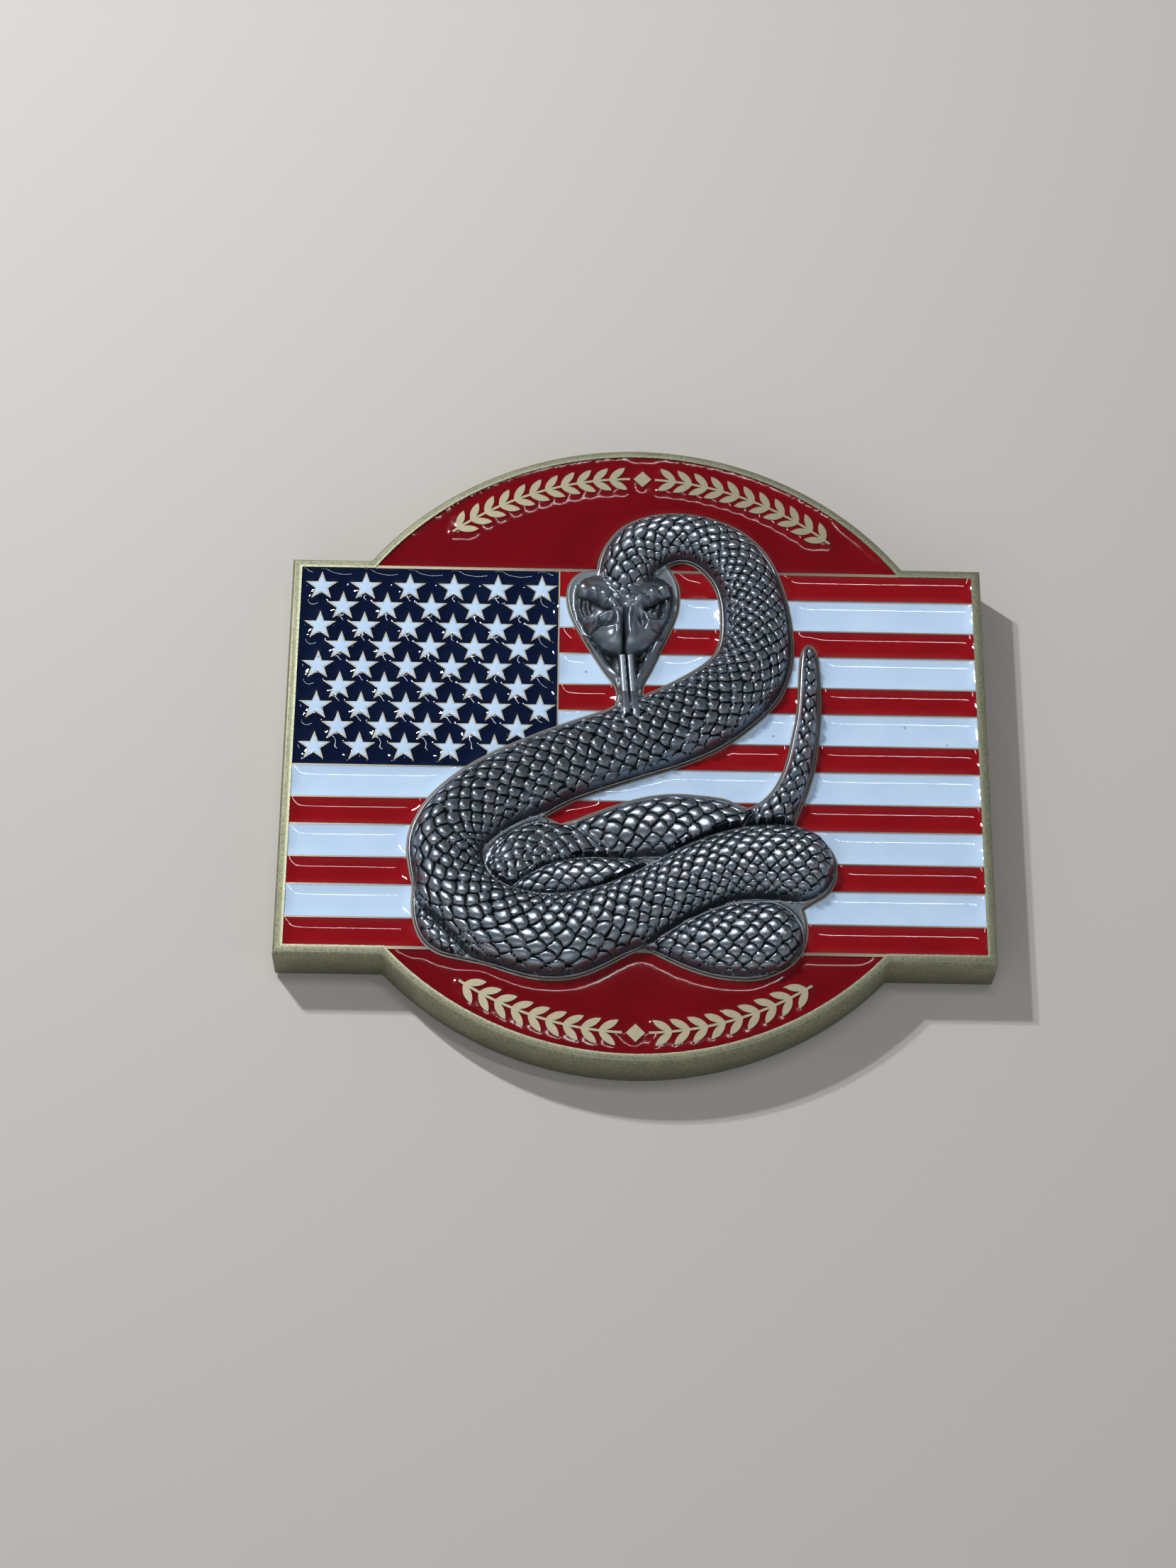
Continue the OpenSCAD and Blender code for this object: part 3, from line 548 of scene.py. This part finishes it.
def build(P, D, loops):
    P = np.asarray(P, float)
    n = len(P)
    z = np.full(n, .05); cav = np.full(n, .30); lay = np.zeros(n, int)
    def put(zz, cc, m, k):
        z[m] = zz[m]; cav[m] = cc[m]; lay[m] = k
    zz, cc, m, _ = strand(Ribbon(HEEL).fit(loops), P, D, amp=.26, seed=9, lo=.88, hi=1.0, flange=.20); put(zz, cc, m, 1)
    # inner coil, back coil and lens, each laid over the one before; the back coil is cut by its seam
    zi, ci, mi, _ = strand(Ribbon(INNER).fit(loops), P, D, amp=.30, seed=3, lo=.90, hi=1.0, flange=.20)
    put(zi, ci, mi, 2)
    zc, cc, mc, inf = strand(Ribbon(COIL).fit(loops), P, D, amp=.40, seed=17, lo=.88, hi=1.0, flange=.24)
    seam = np.interp(P[:, 0], [-6, -4.9, -3.5, -2.3, -1.6, 9], [-6.2, -6.9, -7.7, -8.6, -9.3, -12])
    ds = (P[:, 1] - seam) * .72
    mc = mc & (ds > 0)
    ln = np.exp(-((ds - .10) / .08) ** 2)
    zc = zc - .35 * np.exp(-np.clip(ds, 0, None) / .35) + .12 * ln
    cc = np.maximum(cc, .8 * np.exp(-np.clip(ds, 0, None) / .3)) * (1 - .8 * ln)
    put(zc, cc, mc, 3)
    zl, cl, ml, _ = strand(Ribbon(LENS).fit(loops), P, D, amp=.28, seed=21, lo=.88, hi=1.0, flange=.20); put(zl, cl, ml, 4)
    zt, ct, mt, _ = strand(Ribbon(TAIL).fit(loops), P, D, amp=.42, seed=33, lo=.85, hi=1.0, flange=.16); put(zt, ct, mt, 5)
    zf, cf, mf, _ = strand(Ribbon(LOWER).fit(loops), P, D, amp=.40, seed=41, flange=.24); put(zf, cf, mf, 6)
    zb, cb, mb, _ = strand(Ribbon(BODY).fit(loops), P, D, amp=.42, seed=0); put(zb, cb, mb, 7)
    # jaw, head, tongue
    zj, cj, (x, y, q, t, tz) = jaw_and_tongue(P, z)
    inj = (lay == 0) & (x > -5.5) & (x < 3.4) & (y > 3.2) & (y < 14.6)
    put(zj, cj, inj, 8)
    zh, ch, mh, _ = head(P, D)
    up = mh & ((zh > z - .02) | (lay != 7) | ((lay == 7) & (P[:, 1] < 10.6)))
    put(zh, ch, up, 9)
    # tongue: over the jaw and the coil, from under the snout
    on = (t > .02) & (y < 7.35) & (y > .8) & (lay != 9)
    floor = np.where(lay == 7, np.minimum(z, .05 + np.interp(y, [1, 2, 3, 3.6], [1.45, 1.35, .85, .35])), np.minimum(z, .35))
    lift = np.where(y < 3.8, np.interp(y, [1, 2, 3, 3.8], [1.5, 1.42, .95, .45]), np.interp(y, [3.8, 7], [.45, .55]))
    ztg = lift + tz
    m = on
    z[m] = np.maximum(z[m] * (1 - t[m]) + ztg[m] * t[m], z[m] * 0 + .05); cav[m] = np.clip(cav[m] * (1 - t[m]) + (.03 + .50 * np.exp(-((q[m] - .04) / np.interp(y[m], [2, 6.5], [.05, .10])) ** 2) * smooth(2.0, 2.6, y[m])) * t[m], 0, 1)
    lay[m] = 10
    # every outer edge ends in the same flange and fine bright line
    line = np.exp(-((D - .08) / .075) ** 4)
    free = (lay == 0) | (lay == 8)
    z = np.where(free, z + .012 * line, z)
    cav = np.where(line > .5, np.where(free, .22, .08), cav)
    return z, cav, lay
SNAKE = [
    (-3, 14.2), (-4, 14), (-4.8, 13.4), (-5.2, 12.3), (-5.1, 10.9), (-4.7, 9.7), (-4, 8.3), (-3.2, 6.9),
    (-2.4, 5.6), (-1.7, 4.6), (-1.5, 3.8), (-1.6, 3), (-2.6, 2.5), (-4.2, 1.9), (-6.2, 1.1), (-8.2, 0.2),
    (-10.2, -0.8), (-12, -1.9), (-13.6, -3.2), (-14.9, -4.6), (-15.7, -6), (-16.2, -7.4), (-16.3, -8.8),
    (-16.1, -10.2), (-15.8, -11.6), (-15.8, -13.3), (-15.5, -14.8), (-14.9, -15.9), (-13.8, -16.7),
    (-12.2, -17.1), (-10.4, -17.5), (-8.6, -18.1), (-6.8, -18.5), (-5, -18.5), (-3.4, -18.1), (-1.8, -17.3),
    (-0.4, -16.5), (0.6, -16.1), (1.8, -16.7), (3.2, -17.4), (4.9, -18), (6.6, -18.3), (8.4, -18.3),
    (9.9, -17.8), (11.1, -17), (11.8, -16), (12.1, -14.9), (12.1, -13.9), (11.9, -12.9), (12.6, -12.4),
    (13.5, -11.8), (14.1, -10.9), (14.3, -9.6), (14, -8.4), (13.2, -7.4), (12.2, -6.7), (11.4, -6.3),
    (11.7, -5.4), (12.3, -3.9), (12.9, -1.8), (13.2, 0.4), (13.4, 2.6), (13.4, 5), (13.3, 6.8), (13.1, 7.8),
    (12.5, 8.2), (12, 7.6), (11.8, 6), (11.7, 4.2), (11.5, 2.2), (11.1, 0.2), (10.7, -1.5), (10.2, -2.8),
    (9.6, -3.8), (8.8, -4.6), (8, -5), (7.2, -4.7), (6.2, -4.3), (4.6, -4.1), (2.8, -4), (1, -4.2), (-0.8, -4.7),
    (-2.4, -5.3), (-4, -6), (-5.4, -6.5), (-6.4, -6), (-5.2, -5.2), (-3.8, -4.5), (-1.5, -3.6), (1, -2.7),
    (3, -2), (4.8, -1.2), (6.4, -0.3), (7.8, 0.8), (9.3, 2.2), (10.5, 3.7), (11.2, 5.5), (11.5, 7.2),
    (11.5, 8.8), (11.3, 10.7), (10.9, 12.7), (10.2, 14.7), (9.3, 16.2), (8, 17.5), (6.4, 18.4), (4.8, 18.9),
    (3.2, 19.1), (1.6, 19), (0.2, 18.6), (-1.2, 17.8), (-2.3, 16.4), (-2.8, 15.2)]
SNAKE_CORNERS = {0, 37, 11, 75, 48, 84, 85, 24, 56}
LOOP = [
    (2.4, 14.5), (3.2, 14.8), (4.1, 14.6), (4.9, 13.9), (5.6, 12.9), (6, 11.5), (6.1, 10), (6, 8.5), (5.6, 7.3),
    (4.6, 6.3), (3.1, 5.3), (1.7, 4.5), (0.5, 3.9), (0.6, 4.7), (1.1, 5.7), (1.6, 6.9), (2.2, 8.3), (2.7, 9.5),
    (3.1, 10.8), (3.2, 12.2), (3, 13.3)]
LOOP_CORNERS = {0, 12}

# ---------------------------------------------------------------- material tools
def new_material(name):
    m = bpy.data.materials.new(name)
    m.use_nodes = True
    nt = m.node_tree
    nt.nodes.clear()
    out = nt.nodes.new("ShaderNodeOutputMaterial")
    b = nt.nodes.new("ShaderNodeBsdfPrincipled")
    nt.links.new(b.outputs["BSDF"], out.inputs["Surface"])
    return m, nt, b


class Net:
    """Short names for the nodes that the materials share. Positions are in mm."""

    def __init__(self, nt):
        self.nt = nt
        self.pos = self.node("ShaderNodeMapping", Scale=(1000, 1000, 1000))
        tc = nt.nodes.new("ShaderNodeTexCoord")
        nt.links.new(tc.outputs["Object"], self.pos.inputs["Vector"])
        self.p = self.pos.outputs[0]

    def node(self, kind, props=None, **inputs):
        n = self.nt.nodes.new(kind)
        for k, v in (props or {}).items():
            setattr(n, k, v)
        for k, v in inputs.items():
            self.put(n.inputs[k.replace("_", " ")], v)
        return n

    def put(self, socket, v):
        if isinstance(v, bpy.types.NodeSocket):
            self.nt.links.new(v, socket)
        else:
            socket.default_value = v

    def noise(self, scale, detail=3, rough=.5, vector=None, distortion=0):
        n = self.node("ShaderNodeTexNoise", Scale=scale, Detail=detail, Roughness=rough, Distortion=distortion)
        self.put(n.inputs["Vector"], vector or self.p)
        return n.outputs["Fac"]

    def voronoi(self, scale, feature="F1", vector=None, randomness=1):
        n = self.node("ShaderNodeTexVoronoi", {"feature": feature}, Scale=scale, Randomness=randomness)
        self.put(n.inputs["Vector"], vector or self.p)
        return n.outputs["Distance"]

    def stretch(self, scale, rotation=0):
        n = self.node("ShaderNodeMapping", Scale=scale, Rotation=(0, 0, rotation))
        self.put(n.inputs["Vector"], self.p)
        return n.outputs[0]

    def step(self, v, a, b, lo=0, hi=1, smooth=True):
        n = self.node("ShaderNodeMapRange", {"interpolation_type": "SMOOTHSTEP" if smooth else "LINEAR"})
        self.put(n.inputs["Value"], v)
        for k, x in zip(("From Min", "From Max", "To Min", "To Max"), (a, b, lo, hi)):
            n.inputs[k].default_value = x
        return n.outputs[0]

    def math(self, op, a, b=0, clamp=False):
        n = self.node("ShaderNodeMath", {"operation": op, "use_clamp": clamp})
        self.put(n.inputs[0], a)
        self.put(n.inputs[1], b)
        return n.outputs[0]

    def mix(self, fac, a, b, kind="MIX"):
        n = self.node("ShaderNodeMix", {"data_type": "RGBA", "blend_type": kind, "clamp_result": kind != "MIX"})
        self.put(n.inputs[0], fac)
        self.put(n.inputs[6], (*a, 1) if isinstance(a, tuple) and len(a) == 3 else a)
        self.put(n.inputs[7], (*b, 1) if isinstance(b, tuple) and len(b) == 3 else b)
        return n.outputs[2]

    def attribute(self, name):
        return self.node("ShaderNodeAttribute", {"attribute_name": name}).outputs["Fac"]

    def height_of_point(self):
        s = self.node("ShaderNodeSeparateXYZ")
        self.put(s.inputs[0], self.p)
        return s.outputs["Z"]

    def bump(self, height, distance, strength=1, normal=None):
        n = self.node("ShaderNodeBump", Strength=strength, Distance=distance * MM)
        self.put(n.inputs["Height"], height)
        if normal:
            self.put(n.inputs["Normal"], normal)
        return n.outputs["Normal"]


def srgb(r, g, b):
    f = lambda c: (c / 255) / 12.92 if c <= 10.31 else ((c / 255 + .055) / 1.055) ** 2.4
    return f(r), f(g), f(b)


def black_nickel():
    m, nt, b = new_material("black_nickel_antiqued")
    k = Net(nt)
    cav, line, satin = k.attribute("cavity"), k.attribute("edge_line"), k.attribute("satin")
    cloud, fine, warm = k.noise(.9, 4, .6), k.noise(9, 3, .6), k.noise(1.7, 3, .5)
    metal = k.mix(k.step(warm, .38, .66), (.28, .315, .36), (.32, .31, .335))
    metal = k.mix(k.step(cloud, .35, .7), metal, (.235, .28, .31))
    metal = k.mix(k.math("MULTIPLY", line, .8), metal, (.24, .215, .215))
    # Satin finish on the tongue, less on the jaw and head: a little rougher, with an even, lighter metal colour that is
    # partly painted light.
    metal = k.mix(satin, metal, (.29, .325, .355))
    dirt = k.math("ADD", cav, k.math("MULTIPLY", k.math("SUBTRACT", fine, .5), .35), clamp=True)
    colour = k.mix(k.step(dirt, .06, .70), metal, (.010, .011, .013))
    k.put(b.inputs["Base Color"], colour)
    b.inputs["Metallic"].default_value = 1
    rough = k.math("ADD", k.math("ADD", k.step(dirt, .1, .7, .34, .66), k.math("MULTIPLY", satin, .08)), k.math("MULTIPLY", k.math("SUBTRACT", fine, .5), .16))
    k.put(b.inputs["Roughness"], rough)
    k.put(b.inputs["Normal"], k.bump(k.noise(16, 4, .65), .012, .5))
    return m


def antique_brass():
    m, nt, b = new_material("antique_brass_plate")
    k = Net(nt)
    z = k.height_of_point()
    geo = nt.nodes.new("ShaderNodeNewGeometry")
    sep = k.node("ShaderNodeSeparateXYZ")
    nt.links.new(geo.outputs["Normal"], sep.inputs[0])
    up = sep.outputs["Z"]
    cloud, fine, grain = k.noise(.55, 4, .6), k.noise(5, 4, .65), k.noise(22, 3, .7)
    patina = k.mix(k.step(cloud, .35, .68), (.36, .36, .235), (.30, .305, .205))
    patina = k.mix(k.step(fine, .47, .60, 0, .55), patina, (.16, .16, .105))
    bright = k.mix(k.step(fine, .38, .62), (.58, .58, .38), (.36, .36, .235))
    face = k.step(up, .80, .995)
    wobble = k.math("MULTIPLY", k.math("SUBTRACT", fine, .5), .9)
    rim = k.step(k.math("ADD", k.attribute("rim_inner"), wobble), .25, .85)
    raised = k.math("MULTIPLY", k.step(z, 3.925, 3.935), k.step(z, 3.985, 3.955))
    # Paler brass on the upward faces along the rim's inner edge and on the tops of the raised lines.
    paler_tops = k.math("MULTIPLY", face, k.math("MAXIMUM", rim, k.math("MULTIPLY", raised, .7)))
    colour = k.mix(paler_tops, patina, bright)
    colour = k.mix(k.math("MULTIPLY", raised, .8), colour, (.50, .42, .28))
    # Painted shade: the steep side faces darken lower down, towards the floor.
    low = k.step(z, 3.6, .1)
    colour = k.mix(k.math("MULTIPLY", low, k.step(up, .7, .2, 0, .55)), colour, (.13, .12, .08))
    colour = k.mix(k.math("MULTIPLY", k.attribute("fence"), .85), colour, (.17, .155, .135))
    k.put(b.inputs["Base Color"], colour)
    b.inputs["Metallic"].default_value = .85
    k.put(b.inputs["Roughness"], k.math("ADD", k.step(paler_tops, 0, 1, .60, .42), k.math("MULTIPLY", k.math("SUBTRACT", fine, .5), .2)))
    reverse = k.math("MULTIPLY", k.step(z, .05, .12), k.step(z, .9, .6))
    pebble = k.noise(5.5, 2, .45)
    colour = k.mix(k.math("MULTIPLY", reverse, k.step(pebble, .55, .35, 0, .6)), colour, (.15, .14, .09))
    k.put(b.inputs["Base Color"], colour)
    k.put(b.inputs["Normal"], k.bump(k.math("ADD", grain, k.math("MULTIPLY", pebble, k.math("MULTIPLY", reverse, 5))), .014, .55))
    return m


def enamel(name, colour, shade, gloss=.02, level=.5, depth=.5, specks=(.02, .02, .02), speck_share=.0):
    """Soft enamel: glossy and a little uneven, with fine hairlines and a few specks."""
    m, nt, b = new_material(name)
    b.inputs["Specular IOR Level"].default_value = level
    k = Net(nt)
    cloud, fine = k.noise(.35, 3, .5), k.noise(5, 3, .6)
    base = k.mix(k.step(cloud, .3, .72, 0, depth), colour, shade)
    edge = k.attribute("edge")
    # Painted shade: the enamel darkens within about 0.1 mm of its cell walls.
    base = k.mix(k.step(edge, .55, 1, 0, .55), base, tuple(c * .45 for c in shade))
    spot = k.node("ShaderNodeTexVoronoi", {"feature": "F1"}, Scale=.42)
    k.put(spot.inputs["Vector"], k.p)
    dot = k.step(spot.outputs["Distance"], .05, .028, 0, speck_share)
    base = k.mix(dot, base, specks)
    k.put(b.inputs["Base Color"], base)
    hair = k.noise(2.2, 2, .5, vector=k.stretch((.25, 9, 1), .6))
    k.put(b.inputs["Roughness"], k.math("ADD", k.step(fine, .3, .8, gloss, gloss + .02), k.step(hair, .70, .80, 0, .08)))
    b.inputs["IOR"].default_value = 1.52
    wave = k.math("ADD", k.noise(.8, 2, .4), k.math("MULTIPLY", k.noise(3.5, 3, .5), .12))
    k.put(b.inputs["Normal"], k.bump(wave, .05, .22))
    return m


MAT = {
    "navy": enamel("navy_enamel_gloss", srgb(14, 26, 54), srgb(9, 17, 40), level=.3),
    "white": enamel("white_enamel_gloss", srgb(212, 234, 255), srgb(200, 224, 252), depth=.6, specks=srgb(70, 70, 75), speck_share=.55),
    "red": enamel("red_enamel_gloss", srgb(156, 18, 26), srgb(138, 13, 21), specks=srgb(60, 5, 10), speck_share=.3),
    "dark_red": enamel("dark_red_enamel_gloss", srgb(126, 12, 21), srgb(108, 9, 18), gloss=.10, level=.35, specks=srgb(60, 5, 10), speck_share=.3),
    "nickel": black_nickel(),
    "brass": antique_brass(),
}

# ---------------------------------------------------------------- snake
outer = smooth_loop(SNAKE, SNAKE_CORNERS, 3)
hole = smooth_loop(LOOP, LOOP_CORNERS, 3)
seat = [dense(inset(outer, .16), .10), dense(inset(hole, .16), .10)]


def snake_height(P, D):
    z, cav, lay = build(P, D, seat)
    z = np.clip(z, .02, 2.2)
    line = np.exp(-((D - .05) / .085) ** 4)
    # The tongue gets a full satin finish and the jaw and head part of one; their lighter colour is partly painted
    # light.
    return RIM + z, {"cavity": cav, "edge_line": line * (lay != 10), "satin": (lay == 10) * 1.0 + (lay == 9) * .3 + (lay == 8) * .4}


lo, hi = outer.min(0), outer.max(0)
step = .0918
pts = hexgrid(lo, hi, step)
pts = pts[inside(pts, seat)]
pts = pts[edge_distance(pts, seat) > .24]
for d in (.035, .075, .12, .18):
    for L in (inset(outer, .16 + d), inset(hole, .16 + d)):
        ring = dense(L, .10)
        pts = np.concatenate([pts, ring[inside(ring, seat) & (edge_distance(ring, seat) > .9 * d)]])
snake = relief_solid("snake_casting", seat, pts, snake_height, FLOOR, MAT["nickel"], sharp=75)
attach(snake, "root")
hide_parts("snake_emblem")
print("snake", len(snake.data.polygons), "faces")


# ---------------------------------------------------------------- enamel
def pour(node, material, depth=.30, reach=.85, dome=0.0, grow=0.0, fine=.11, coarse=.3):
    """One colour of enamel: fills its cells, sinks in the middle and climbs their walls."""
    o = nodes[node]
    loops = [L for L in top_loops(o, ENAMEL) if len(L) > 3]
    if grow:
        turn = [np.sign((L[:, 0] * np.roll(L[:, 1], -1) - L[:, 1] * np.roll(L[:, 0], -1)).sum()) for L in loops]
        loops = [inset(L, -grow * s) for L, s in zip(loops, turn)]
    loops = [dense(L, .16) for L in loops]
    allp = np.concatenate(loops)
    lo, hi = allp.min(0), allp.max(0)
    near = hexgrid(lo, hi, fine)
    near = near[inside(near, loops)]
    d = edge_distance(near, loops)
    near = near[(d > .4 * fine) & (d < reach * .9)]
    far = hexgrid(lo, hi, coarse)
    far = far[inside(far, loops)]
    far = far[edge_distance(far, loops) >= reach * .9 + .05]

    def height(P, D):
        k = np.clip(1 - D / reach, 0, 1)
        z = ENAMEL - .06 + depth * k ** 1.9
        if dome:
            z = LINE + .008 + dome * (1 - np.clip(1 - D / .3, 0, 1) ** 2)
        # edge: nearness to the cell walls, which sets the painted shade along them.
        return z, {"edge": np.exp(-D / .10)}

    o2 = relief_solid(node.replace("_enamel", "") + "_pour", loops, np.concatenate([near, far]), height, FLOOR,
                      material, sharp=60, smoothing=25 if not dome else 4)
    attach(o2, "root")
    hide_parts(node)
    return o2


total = 0
for node in sorted(nodes):
    if node.startswith("stripe"):
        red = "red" in node
        made = pour(node, MAT["red" if red else "white"])
    elif node.endswith("panel_enamel"):
        made = pour(node, MAT["dark_red"], depth=.24)
    elif node == "canton_enamel":
        made = pour(node, MAT["navy"], fine=.10)
    elif node == "star_enamel":
        made = pour(node, MAT["white"], dome=.04, grow=.012, fine=.09, coarse=.2)
    else:
        continue
    total += len(made.data.polygons)
print("enamel faces", total)

# ---------------------------------------------------------------- plate
def plate():
    """The struck plate: the CAD's mesh joined up, with soft edges and masks for its paler inner rim and its darker
    lines round the snake.
    """
    bm = bmesh.new()
    bm.from_mesh(nodes["coin_body"].data)
    bmesh.ops.remove_doubles(bm, verts=bm.verts, dist=1e-6)
    me = bpy.data.meshes.new("coin_plate")
    bm.to_mesh(me)
    bm.free()
    for key in ("custom_normal",):
        if key in me.attributes:
            me.attributes.remove(me.attributes[key])
    me.materials.clear()
    me.shade_smooth()
    me.set_sharp_from_angle(angle=math.radians(32))
    co = np.empty(len(me.vertices) * 3)
    me.vertices.foreach_get("co", co)
    co = co.reshape(-1, 3) * 1000
    x, y, z = co.T
    r = np.hypot(x, y)
    inner = (z > RIM - .01) & ((r < 23.95) | ((np.abs(x) < 24.75) & (y < 14.05) & (y > -16.16)))
    fence = (edge_distance(co[:, :2], seat) < .22) & (z > ENAMEL - .3)
    for key, v in (("rim_inner", inner), ("fence", fence)):
        at = me.attributes.new(key, "FLOAT", "POINT")
        at.data.foreach_set("value", v.astype(np.float32))
    o = bpy.data.objects.new("coin_plate", me)
    scene.collection.objects.link(o)
    me.materials.append(MAT["brass"])
    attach(o, "root")
    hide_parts("coin_body")
    return o


plate()

# ---------------------------------------------------------------- floor, light, camera
def floor_material():
    m, nt, b = new_material("floor_plain")
    k = Net(nt)
    b.inputs["Base Color"].default_value = (*srgb(212, 204, 196), 1)
    b.inputs["Roughness"].default_value = .9
    b.inputs["Specular IOR Level"].default_value = .1
    return m


me = bpy.data.meshes.new("floor")
me.from_pydata([(-.6, -.6, 0), (.6, -.6, 0), (.6, .9, 0), (-.6, .9, 0)], [], [(0, 1, 2, 3)])
floor = bpy.data.objects.new("floor", me)
scene.collection.objects.link(floor)
me.materials.append(floor_material())


def area(name, direction, distance, size, power, colour=(1, 1, 1), size_y=None, target=(0, 0, .003)):
    d = Vector(direction).normalized()
    li = bpy.data.lights.new(name, "AREA")
    li.energy, li.color, li.size = power, colour, size
    if size_y:
        li.shape, li.size_y = "RECTANGLE", size_y
    else:
        li.shape = "DISK"
    o = bpy.data.objects.new(name, li)
    o.location = Vector(target) + d * distance
    o.rotation_mode = "QUATERNION"
    o.rotation_quaternion = (-d).to_track_quat("-Z", "Y")
    scene.collection.objects.link(o)
    return o


area("key_a", (-2.95, 2.75, 4.0), .28, .009, .26, (.95, .99, 1.04))
area("key_b", (-2.55, 2.5, 4.0), .28, .009, .26, (.95, .99, 1.04))
area("strip", (.05, .13, 1), .7, .32, .55, (.95, .98, 1), size_y=.010)
area("front_fill", (-.5, -1.2, .75), .9, .7, .78, (.9, .95, 1), size_y=.4)

# The room: soft and a little cool, with a dim patch of ceiling where flat enamel looks
world = bpy.data.worlds.new("studio")
scene.world = world
world.use_nodes = True
wt = world.node_tree
wt.nodes.clear()
out = wt.nodes.new("ShaderNodeOutputWorld")
bg = wt.nodes.new("ShaderNodeBackground")
wt.links.new(bg.outputs[0], out.inputs[0])
tc = wt.nodes.new("ShaderNodeTexCoord")
dot = wt.nodes.new("ShaderNodeVectorMath")
dot.operation = "DOT_PRODUCT"
dot.inputs[1].default_value = (.014, .428, .904)
wt.links.new(tc.outputs["Generated"], dot.inputs[0])
ramp = wt.nodes.new("ShaderNodeValToRGB")
ramp.color_ramp.elements[0].position, ramp.color_ramp.elements[0].color = .35, (.36, .385, .42, 1)
ramp.color_ramp.elements[1].position, ramp.color_ramp.elements[1].color = .93, (.045, .05, .06, 1)
wt.links.new(dot.outputs["Value"], ramp.inputs[0])
wt.links.new(ramp.outputs[0], bg.inputs["Color"])
bg.inputs["Strength"].default_value = 1.0
scene.view_settings.view_transform = "Standard"
scene.view_settings.look = "None"

cam_data = bpy.data.cameras.new("camera")
cam_data.lens, cam_data.sensor_width, cam_data.sensor_fit = 75.02, 36, "AUTO"
cam_data.clip_start, cam_data.clip_end = .01, 5
cam = bpy.data.objects.new("camera", cam_data)
right = Vector((.9997546, .00960689, .01996096))
upward = Vector((-.01722066, .90385388, .42749458))
back = Vector((-.0139349, -.42773342, .90379751))
cam.matrix_world = Matrix((
    (right.x, upward.x, back.x, -.0067185), (right.y, upward.y, back.y, -.1034073),
    (right.z, upward.z, back.z, .2153861), (0, 0, 0, 1)))
scene.collection.objects.link(cam)
scene.camera = cam

bpy.context.view_layer.update()
